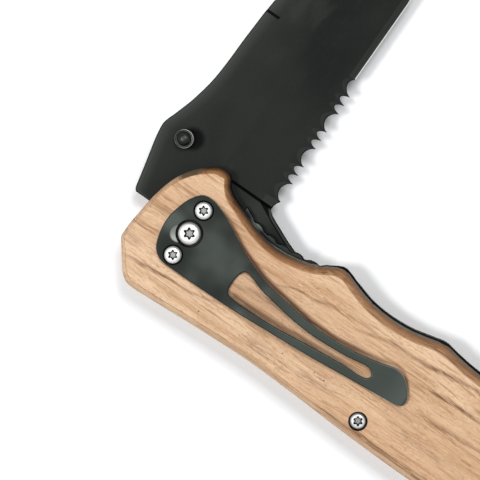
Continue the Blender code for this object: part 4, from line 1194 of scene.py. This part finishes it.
def add_lock_bar(material):
    """Make the sprung lock bar, sliced into strips from its front to its root."""
    mesh = soft_prism(lock_bar_outline(), near_liner_low, near_liner_high, liner_edge)
    bar = add_object("lock_bar_leaf", mesh, material)
    bore(bar, (detent_forward, detent_above), detent_radius + fixed_clearance,
         past(near_liner_low, near_liner_high))
    settle(bar)
    slice_along(bar.data, lock_bar_front, lock_bar_root, lock_bar_strip)
    smooth(bar.data)
    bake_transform(bar)
    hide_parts("lock_bar")


def add_detent_ball(material):
    """Make the ball that stands a little out of the lock bar toward the blade."""
    bm = bmesh.new()
    bmesh.ops.create_icosphere(bm, subdivisions=ball_subdivisions, radius=detent_radius)
    height = near_liner_low - detent_proud + detent_radius
    bmesh.ops.translate(bm, verts=bm.verts, vec=(detent_forward, detent_above, height))
    ball = add_object("detent_ball_round", mesh_from(bm), material)
    ball.data.shade_smooth()
    dress(ball, "lock_bar", "detent_ball")


def slice_along(mesh, start, end, strip):
    """Cut a mesh across X into narrow strips, so that it can bend smoothly."""
    bm = bmesh.new()
    bm.from_mesh(mesh)
    for place in even_steps(start, end, round((end - start) / strip)):
        geometry = bm.verts[:] + bm.edges[:] + bm.faces[:]
        bmesh.ops.bisect_plane(bm, geom=geometry, dist=0.001 * MM, plane_co=(place, 0, 0),
                               plane_no=(1, 0, 0))
    bm.to_mesh(mesh)
    bm.free()


def spine_at(along):
    """Return the spine's height above the pivot axis, at a distance from it."""
    return spine_height * table_value(spine_shares, along / blade_length)


def swedge_at(along):
    """Return the height of the false edge's inner line."""
    if along < swedge_start:
        return spine_at(along) - swedge_width
    return spine_height * table_value(swedge_line_shares, along / blade_length)


def grind_at(along):
    """Return the height of the line where the main bevel starts."""
    return grind_line_above * table_value(grind_line_shares, along / blade_length)


def tooth_line_at(along):
    """Return the depth of the line that the serrations' tips lie on."""
    share = (along - serration_start) / (serration_end - last_scallop - serration_start)
    return edge_depth + lerp(first_tooth_rise, last_tooth_rise, share)


def sweep_at(along):
    """Return how far a place lies past the start of the belly, as a share."""
    return max(along - belly_start, 0) / (blade_length - belly_start)


def plain_edge_at(along):
    """Return the plain edge's depth below the pivot axis, curving up to the point."""
    return edge_depth * (1 - sweep_at(along) ** 2)


def taper_at(along):
    """Return half the blade's thickness, which thins toward the point."""
    return lerp(blade_thickness / 2, tip_half, sweep_at(along))


def bevel_face_height(along, depth):
    """Return the main bevel's half thickness at a depth below the pivot axis."""
    half = taper_at(along)
    inner = -grind_at(along)
    outer = max(plain_edge_at(along) - edge_bevel_width, inner + edge_bevel_width)
    return lerp(half, min(edge_bevel_half, half), (depth - inner) / (outer - inner))


def blade_section(along, edge, bevel, near_edge, far_edge):
    """Return one cross-section's corners, from the spine over the near face and back."""
    half = taper_at(along)
    spine_half = lerp(half, min(swedge_half, half), ramp(along, swedge_start, swedge_start + plunge_run))
    spine = spine_at(along)
    swedge = swedge_at(along)
    width = min(spine_chamfer_width, (spine - swedge) / 3)
    drop = min(spine_chamfer_drop, width / 3, spine_half / 3)
    lip = min(blade_lip, spine_half - drop - least_wall)
    bevel_half = bevel_face_height(along, bevel)
    line = min(bright_edge_width, (edge - bevel) / 2)
    share = line / (edge - bevel)
    near = [(-spine, spine_half - drop - lip), (-spine + lip, spine_half - drop),
            (-spine + width, lerp(spine_half, half, width / (spine - swedge))),
            (-swedge, half), (-grind_at(along), half), (bevel, bevel_half)]
    far = [(across, -height) for across, height in reversed(near)]
    ends = [(edge - line, lerp(near_edge, bevel_half, share)), (edge, near_edge),
            (edge, far_edge), (edge - line, lerp(far_edge, -bevel_half, share))]
    return [Vector((across, along, height)) for across, height in near + ends + far]


def plain_section(along):
    """Return a cross-section with the plain edge and its small bevel."""
    edge = plain_edge_at(along)
    bevel = edge - edge_bevel_width * min(1, edge / edge_depth + edge_half / edge_bevel_width)
    near = min(edge_half, taper_at(along))
    return blade_section(along, edge, bevel, near, -near)


def near_ground_section(along, edge, bevel):
    """Return a cross-section whose edge is ground from the near face only."""
    floor = -bevel_face_height(along, edge)
    return blade_section(along, edge, bevel, floor + 2 * edge_half, floor)


def scallop_sections(start, width, depth, next_line):
    """Return the cross-sections of one scallop, up to the depth of the next tooth's tip."""
    sections = []
    for turn in even_steps(0, math.pi, scallop_points):
        share = (1 - math.cos(turn)) / 2
        along = start + tooth_flat / 2 + (width - tooth_flat) * share
        line = lerp(tooth_line_at(start), next_line, (along - start) / width)
        sink = (math.sin(math.pi * share ** scallop_skew) * math.sin(turn)) ** (scallop_fullness / 2)
        bevel = line - flute_root - (depth + flute_reach) * sink
        sections.append(near_ground_section(along, line - depth * sink, bevel))
    return sections


def first_section(base, bevel):
    """Return the cross-section at the plunge line, where the flat tang starts."""
    half = blade_thickness / 2
    start = blade_section(ricasso_length, base, bevel, half, -half)
    per_side = len(start) // 2
    for corner in start[2:-2]:
        corner.z = math.copysign(half, corner.z)
    for corner in (start[per_side - 2], start[per_side + 1]):
        corner.x = base - front_chamfer_width
    for corner in (start[per_side - 1], start[per_side]):
        corner.z = math.copysign(half - front_chamfer_drop - blade_lip, corner.z)
    return start


def blade_sections():
    """Return every cross-section from the plunge line to the point, and where the edge is plain."""
    base = edge_depth + choil_depth
    bevel = edge_depth - edge_bevel_width
    sections = [first_section(base, bevel)]
    for share in even_steps(0, 1, ricasso_stations)[:-1]:
        along = lerp(ricasso_length + plunge_run, serration_start, share)
        edge = lerp(base, tooth_line_at(serration_start), share * share)
        sections.append(near_ground_section(along, edge, bevel))
    place = serration_start
    group = [(wide_scallop, wide_scallop_depth)] + 2 * [(narrow_scallop, narrow_scallop_depth)]
    for width, depth in group * scallop_groups:
        sections += scallop_sections(place, width, depth, tooth_line_at(place + width))
        place += width
    sections += scallop_sections(place, last_scallop, last_scallop_depth, edge_depth)
    plain_from = len(sections)
    stops = [serration_end, swedge_start]
    stops += even_steps(swedge_start + plunge_run, blade_length - point_gap, plain_stations)
    sections += [plain_section(along) for along in stops]
    return sections, plain_from


def tang_arc(start, end, count):
    """Return points round the tang between two turns, counted from the blade's direction."""
    return [Vector((tang_radius * math.sin(turn), tang_radius * math.cos(turn)))
            for turn in even_steps(start, end, count)]


def tang_outline():
    """Return the tang's outline, from the edge side of the plunge line round to the spine."""
    controls = [Vector((reach * flipper_reach, along * ricasso_length)) for along, reach in flipper_shares]
    controls.append(Vector((closed_stop_reach, closed_stop_side)))
    chain = [controls[0] * 2 - controls[1]] + controls + [controls[-1] * 2 - controls[-2]]
    points = []
    for i in range(len(controls) - 1):
        steps = flipper_steps if i < len(controls) - 2 else 1
        points += [spline_point(*chain[i:i + 4], k / steps) for k in range(steps)]
    points.append(controls[-1])
    points += tang_arc(math.acos(closed_stop_side / tang_radius),
                       math.acos(-lock_face_behind / tang_radius), arc_steps // 2)
    points.append(Vector((lock_notch_side, -lock_face_behind)))
    points += tang_arc(math.pi - math.asin(lock_notch_side / tang_radius),
                       2 * math.pi - math.acos(shoulder_side / tang_radius), arc_steps)
    points.append(Vector((-shoulder_depth + shoulder_corner, shoulder_side)))
    points.append(Vector((-shoulder_depth, shoulder_side + shoulder_corner)))
    rise = even_steps(shoulder_side + 2 * shoulder_corner, ricasso_length, shoulder_steps)[:-1]
    return points + [Vector((-spine_at(along), along)) for along in rise]


def tang_rings(outline, normals, up, middle):
    """Return the tang's edge on one side as rings, from its wall in to its flat face."""
    half = blade_thickness / 2
    rings = [[] for _ in range(5)]
    for point, normal in zip(outline, normals):
        spine = ramp(-point.x, *tang_spine_run) if point.y > 0 else 0
        front = ramp(point.x, *tang_front_run) * ramp(point.y, *tang_side_run)
        width = lerp(tang_chamfer, spine_chamfer_width, spine)
        width += (front_chamfer_width - tang_chamfer) * front
        drop = lerp(tang_chamfer / 2, spine_chamfer_drop, spine)
        drop += (front_chamfer_drop - tang_chamfer / 2) * front
        groove = least_groove + front_groove_half * front
        steps = [(0, drop + blade_lip), (blade_lip, drop), (width, 0),
                 (width + groove, front_groove_depth * front), (width + 2 * groove, 0)]
        for ring, (inward, sink) in zip(rings, steps):
            place = point + normal * inward
            ring.append(((place.x, place.y, middle + up * (half - sink)), front))
    return rings


def add_tang(bm, tone, root, middle):
    """Join the flat tang with its flipper to the first cross-section of the blade."""
    outline = tang_outline()
    per_side = len(root) // 2
    base, spine = (root[k].co.xy for k in (per_side - 1, 0))
    inward = outward_normals([base] + outline + [spine])[1:-1]
    tones = [black_tone, chamfer_tone, black_tone, black_tone]
    walls = []
    for up in (1, -1):
        corners = root[:per_side] if up > 0 else list(reversed(root[per_side:]))
        wall, lip, chamfer = corners[:3]
        bevel, line, edge = corners[-3:]
        rings = tang_rings(outline, inward, up, middle)
        loops = [[bm.verts.new(place) for place, _ in ring] for ring in rings]
        runs = [[start] + loop + [end] for start, loop, end in zip(
            (edge, edge, line, line, bevel), loops, (wall, lip, chamfer, chamfer, chamfer))]
        for k, (first, second) in enumerate(zip(runs, runs[1:])):
            for i in range(len(first) - 1):
                ring = list(dict.fromkeys((first[i], first[i + 1], second[i + 1], second[i])))
                face = bm.faces.new(ring)
                front = rings[0][min(i, len(outline) - 1)][1]
                face[tone] = tones[k] if k < 2 or front > 0.5 else 0.0
        bm.faces.new(corners[2:-2] + loops[-1])
        walls.append(runs[0])
    for i in range(len(walls[0]) - 1):
        bm.faces.new((walls[0][i], walls[0][i + 1], walls[1][i + 1], walls[1][i]))


def column_tone(column, per_side, plunge, shoulder, plain):
    """Return the tone of one face between two cross-sections, by its column round them."""
    column = min(column, 2 * per_side - 2 - column)
    if column == 0 or (plunge and per_side - 4 <= column < per_side - 1) or (shoulder and column < 3):
        return black_tone
    if column == 1:
        return chamfer_tone
    if column in (per_side - 2, per_side - 1):
        return bare_tone if plain else black_tone
    return bevel_tone if column == per_side - 3 else 0.0


def blade_mesh():
    """Return the blade's mesh, its ground sections and then its tang, toned face by face."""
    middle = (blade_low + blade_high) / 2
    bm = bmesh.new()
    tone = bm.faces.layers.float.new("tone")
    sections, plain_from = blade_sections()
    rings = [[bm.verts.new(corner + Vector((0, 0, middle))) for corner in section] for section in sections]
    per_side = len(rings[0]) // 2
    for k, (lower, upper) in enumerate(zip(rings, rings[1:])):
        for i in range(len(lower)):
            j = (i + 1) % len(lower)
            face = bm.faces.new((lower[i], lower[j], upper[j], upper[i]))
            if i < len(lower) - 1:
                face[tone] = column_tone(i, per_side, k == 0, k == plain_from + 1, k >= plain_from)
            bm.edges.get((lower[i], upper[i])).smooth = False
    bm.faces.new(rings[-1])
    add_tang(bm, tone, rings[0], middle)
    bmesh.ops.recalc_face_normals(bm, faces=bm.faces)
    for edge in bm.edges:
        if edge.smooth and len(edge.link_faces) == 2 and edge.calc_face_angle() > soft_angle:
            edge.smooth = False
    for face in bm.faces:
        face.smooth = len(face.verts) <= 4
    return mesh_from(bm)


def add_blade(material):
    """Make the blade with the holes for its pivot, its stud and the detent ball."""
    blade = add_object("blade_ground", blade_mesh(), material)
    low, high = past(blade_low, blade_high)
    bore(blade, (0, 0), blade_bore_radius, (low, high), round_sides)
    bore(blade, stud_place, stud_bore_radius, (low, high))
    bore(blade, (-detent_above, detent_forward), detent_hole_radius, (blade_high - detent_hole_depth, high))
    settle(blade)
    dress(blade, "blade", "blade")


def add_thumb_studs(material):
    """Make the stud's two halves, the near one's shank seated in the far one."""
    outline = [(radius * MM, height * MM) for radius, height in stud_outline]
    shank = [(0, -stud_shank_length), (stud_shank_radius, -stud_shank_length), (stud_shank_radius, 0)]
    socket = [(0, stud_socket_depth), (stud_bore_radius, stud_socket_depth), (stud_bore_radius, 0)]
    for label, start, seat, side in (("near", shank, blade_high + seat_gap, 1),
                                     ("far", socket, blade_low - seat_gap, -1)):
        add_turned(f"thumb_stud_{label}_turned", turned_mesh(start + outline, small_sides), material,
                   "blade", f"thumb_stud_{label}", stud_place, seat, side)


def six_lobe(reach):
    """Return the outline of a six-lobe recess."""
    points = []
    for i in range(lobe_points):
        turn = 2 * math.pi * i / lobe_points
        radius = reach * (1 - recess_wave_share + recess_wave_share * math.cos(lobe_count * turn))
        points.append(Vector((radius * math.cos(turn), radius * math.sin(turn))))
    return points


def screw_mesh(head_radius, head_height, shank_radius, shank_length, reach):
    """Make a button-head screw along Z, with its seat at height zero."""
    profile = [(0, -shank_length), (shank_radius - steel_edge, -shank_length),
               (shank_radius, steel_edge - shank_length), (shank_radius, 0)]
    profile += [(share * head_radius, rise * head_height) for share, rise in head_dome]
    blank = add_object("blank", turned_mesh(profile + [(0, head_height)], small_sides * 2))
    floor = head_height * (1 - recess_depth_share)
    cut(blank, skin_mesh([raised(six_lobe(reach * recess_floor_share), floor),
                          raised(six_lobe(reach), head_height),
                          raised(six_lobe(reach), head_height + overrun)]), turn=recess_turn)
    mesh = settle(blank)
    bpy.data.objects.remove(blank, do_unlink=True)
    recess = mesh.attributes.new("recess", "FLOAT", "FACE")
    for face in mesh.polygons:
        inside = face.center.xy.length < reach and face.center.z > floor - steel_edge
        if inside and face.center.z < head_height - least_groove:
            recess.data[face.index].value = 0.5 if face.normal.z > 0.9 else 1.0
    return mesh


def add_screw(node, sizes, centre, seat, side, material):
    """Make one screw on its seat."""
    add_turned(f"{node}_turned", screw_mesh(*sizes), material, "handle", node,
               centre, seat, side)


def add_screws(material):
    """Make the pivot screw, the clip's screws and the body screws of both sides."""
    pivot = (pivot_head_radius, pivot_head_height, pivot_shank_radius, pivot_shank_length,
             pivot_recess_reach)
    add_screw("pivot_screw", pivot, (0, 0), near_scale_high + seat_gap, 1, material)
    clip_seat = clip_high - clip_counterbore_depth + seat_gap
    near_seat = near_scale_high - body_counterbore_depth + seat_gap
    far_seat = body_counterbore_depth - seat_gap
    middle = (far_liner_high + near_liner_low) / 2
    clip_screw, short_screw, body_screw = (
        (radius, height, small_shank_radius, length, small_recess_reach) for radius, height, length in (
            (clip_head_radius, clip_head_height, clip_seat - near_liner_low),
            (body_head_radius, body_head_height, far_liner_high - far_seat),
            (body_head_radius, body_head_height, near_seat - middle - thread_end_gap)))
    for label, centre in clip_screw_places().items():
        add_screw(f"clip_screw_{label}", clip_screw, centre, clip_seat, 1, material)
        add_screw(f"far_screw_{label}", short_screw, centre, far_seat, -1, material)
    for label, centre in body_screw_places().items():
        add_screw(f"near_screw_{label}", body_screw, centre, near_seat, 1, material)
        add_screw(f"far_screw_{label}", body_screw, centre, far_seat, -1, material)


def rod_profile(radius, low, high, edge):
    """Return the profile of a plain rod with softened ends."""
    return [(0, low), (radius - edge, low), (radius, low + edge), (radius, high - edge),
            (radius - edge, high), (0, high)]


def add_pivot_parts(steel, bronze):
    """Make the sleeve that the blade turns on, its washers and the stop pin."""
    edge = steel_edge
    profile = rod_profile(barrel_head_radius, 0, barrel_head_height, edge)[:-1] + [
        (barrel_radius, barrel_head_height), (barrel_radius, barrel_top - edge),
        (barrel_radius - edge, barrel_top), (barrel_bore_radius, barrel_top),
        (barrel_bore_radius, barrel_floor), (0, barrel_floor)]
    add_turned("pivot_sleeve", turned_mesh(profile, round_sides), steel,
               "handle", "pivot_barrel")
    for node in ("washer_far", "washer_near"):
        low, high = heights(node)
        outside = rod_profile(washer_radius, low, high, washer_edge)[1:-1]
        inside = [(blade_bore_radius + washer_radius - radius, height)
                  for radius, height in reversed(outside)]
        add_turned(f"{node}_ring", turned_mesh(outside + inside, round_sides, True), bronze,
                   "handle", node)
    pin = turned_mesh(rod_profile(stop_pin_radius, *heights("stop_pin"), edge), small_sides)
    add_turned("stop_pin_turned", pin, steel, "handle", "stop_pin", stop_place())


def add_backspacer(material):
    """Make the bar between the liners along the rear half of the back."""
    edge = handle_outline(-spacer_inset)
    back = [point for point in edge if point.y < -spacer_inner and spacer_start < point.x < spacer_end]
    outline = [Vector((spacer_start, -spacer_inner)), Vector((spacer_start, back[0].y))] + back
    outline += [Vector((spacer_end, back[-1].y)), Vector((spacer_end, -spacer_inner))]
    mesh = soft_prism(outline, spacer_low, spacer_high, steel_edge)
    spacer = add_object("backspacer_bar", mesh, material)
    for centre in body_screw_places().values():
        bore(spacer, centre, small_bore_radius, past(spacer_low, spacer_high))
    finish(spacer, "handle", "backspacer")


def clip_outline(shares):
    """Return a smooth outline through the clip's shares, placed beside the pivot."""
    return closed_spline([Vector((along * clip_length - clip_front, across * clip_width))
                          for along, across in shares])


def rim_rings(outline, side):
    """Return the rings over the clip's rim, moved inward (-1) or outward (1) as they rise."""
    return [raised(offset_points(outline, side * clip_rim * out), clip_high - clip_rim * down)
            for down, out in quarter_turn]


def clip_rings():
    """Return the clip's rings from its underside up over its rounded rim."""
    wide = clip_outline(clip_shares)
    return [raised(offset_points(wide, -clip_under_rim), clip_low),
            raised(wide, clip_low + clip_under_rim)] + rim_rings(wide, -1)


def slot_rings():
    """Return the rings of the clip's slot, which open out over its rim."""
    narrow = clip_outline(slot_shares)
    rings = [raised(narrow, clip_low - overrun)] + rim_rings(narrow, 1)
    return rings + [[(x, y, clip_high + overrun) for x, y, _ in rings[-1]]]


def bend_clip(mesh):
    """Raise the clip's arms off the handle and bring its end back down."""
    table = [(along * clip_length - clip_front, lift * clip_lift) for along, lift in clip_bend_shares]
    for vertex in mesh.vertices:
        vertex.co.z += table_value(table, vertex.co.x)


def dimple_place():
    """Return the middle of the clip's shallow hollow beside the pivot."""
    return (dimple_offset * math.cos(dimple_turn), dimple_offset * math.sin(dimple_turn))


def cut_clip(clip):
    """Cut the clip's slot, its screws' seats and its shallow hollow."""
    span = past(clip_low, clip_high)
    cut(clip, skin_mesh(slot_rings()))
    countersink(clip, (0, 0), pivot_head_radius + clip_pivot_clearance, span[0], clip_high, steel_edge)
    for centre in clip_screw_places().values():
        bore(clip, centre, small_bore_radius, span)
        countersink(clip, centre, clip_counterbore_radius, clip_high - clip_counterbore_depth,
                    clip_high, steel_edge)
    profile = [(share * dimple_radius, -dimple_depth * math.cos(math.pi / 2 * share))
               for share in even_steps(0, 1, dimple_steps)]
    profile += [(dimple_radius + overrun, overrun), (0, overrun)]
    cut(clip, turned_mesh(profile, small_sides), (*dimple_place(), clip_high))


def add_pocket_clip(material):
    """Make the clip: a slotted plate with its screws' seats, bent over the handle."""
    clip = add_object("pocket_clip_bent", skin_mesh(clip_rings()), material)
    cut_clip(clip)
    mesh = settle(clip)
    slice_along(mesh, clip_flex_start, clip_length - clip_front, clip_strip)
    bend_clip(mesh)
    mesh.shade_smooth()
    mesh.set_sharp_from_angle(angle=soft_angle)
    clip.modifiers.new("even_shading", "WEIGHTED_NORMAL").keep_sharp = True
    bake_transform(clip)
    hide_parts("pocket_clip")


def add_floor():
    """Lay the pale floor under the knife."""
    bm = bmesh.new()
    corners = [(-1, -1), (1, -1), (1, 1), (-1, 1)]
    bm.faces.new([bm.verts.new((x * floor_half, y * floor_half, -floor_drop)) for x, y in corners])
    floor = add_object("studio_floor", mesh_from(bm), make_floor())


def aim(item, target, up=(0, 0, 1)):
    """Turn a camera or light toward a point, with a given direction up."""
    forward = (Vector(target) - item.location).normalized()
    right = forward.cross(Vector(up)).normalized()
    above = right.cross(forward)
    turned = Matrix((right, above, -forward)).transposed().to_4x4()
    item.matrix_world = Matrix.Translation(item.location) @ turned


def add_area_light(name, turn, elevation, distance, size, power):
    """Hang a soft light, out of the camera's sight, by its turn in the image and its elevation."""
    light = bpy.data.lights.new(name, "AREA")
    light.shape = "RECTANGLE"
    light.size = size
    light.size_y = size
    light.energy = power
    item = link_object(name, light)
    flat = Vector(image_right) * math.cos(turn) + Vector(image_up) * math.sin(turn)
    direction = flat * math.cos(elevation) + Vector((0, 0, math.sin(elevation)))
    item.location = Vector(camera_aim) + direction * distance
    item.visible_camera = False
    aim(item, camera_aim)


def add_studio():
    """Set up the camera, the lights and the surrounding brightness."""
    camera = link_object("camera", bpy.data.cameras.new("camera"))
    camera.location = camera_place
    camera.data.lens = lens
    camera.data.sensor_width = sensor
    camera.data.clip_start = nearest_seen
    aim(camera, camera_aim, image_up)
    bpy.context.scene.camera = camera

    for name, lamp in lamps.items():
        add_area_light(name, *lamp)

    world = bpy.data.worlds.new("studio")
    world.use_nodes = True
    background = world.node_tree.nodes["Background"]
    background.inputs["Color"].default_value = (1.0, 1.0, 1.0, 1.0)
    background.inputs["Strength"].default_value = surrounding_brightness
    bpy.context.scene.world = world
    bpy.context.scene.view_settings.view_transform = "Standard"


def build_scene():
    """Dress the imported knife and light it."""
    wood = make_wood()
    liner = make_liner_steel()
    clip_coat = make_clip_steel()
    stud_coat = make_stud_coat()
    blade_coat = make_blade_coat()
    steel = make_steel("screw_bright", (228, 228, 226), (214, 215, 213), 0.35, 0.28)
    bronze = make_steel("washer_bronze", (206, 158, 96), (186, 138, 82), 1.0, 0.32)

    add_scale("near_scale_wood", wood, near_scale_low, near_scale_high)
    add_scale("far_scale_wood", wood, far_scale_high, 0.0)
    add_liner("far_liner_steel", liner, far_liner_low, far_liner_high, False)
    add_liner("lock_side_liner_steel", liner, near_liner_low, near_liner_high, True)
    add_lock_bar(liner)
    add_detent_ball(steel)
    add_blade(blade_coat)
    add_thumb_studs(stud_coat)
    add_pivot_parts(steel, bronze)
    add_backspacer(liner)
    add_pocket_clip(clip_coat)
    add_screws(steel)
    add_floor()
    add_studio()


build_scene()
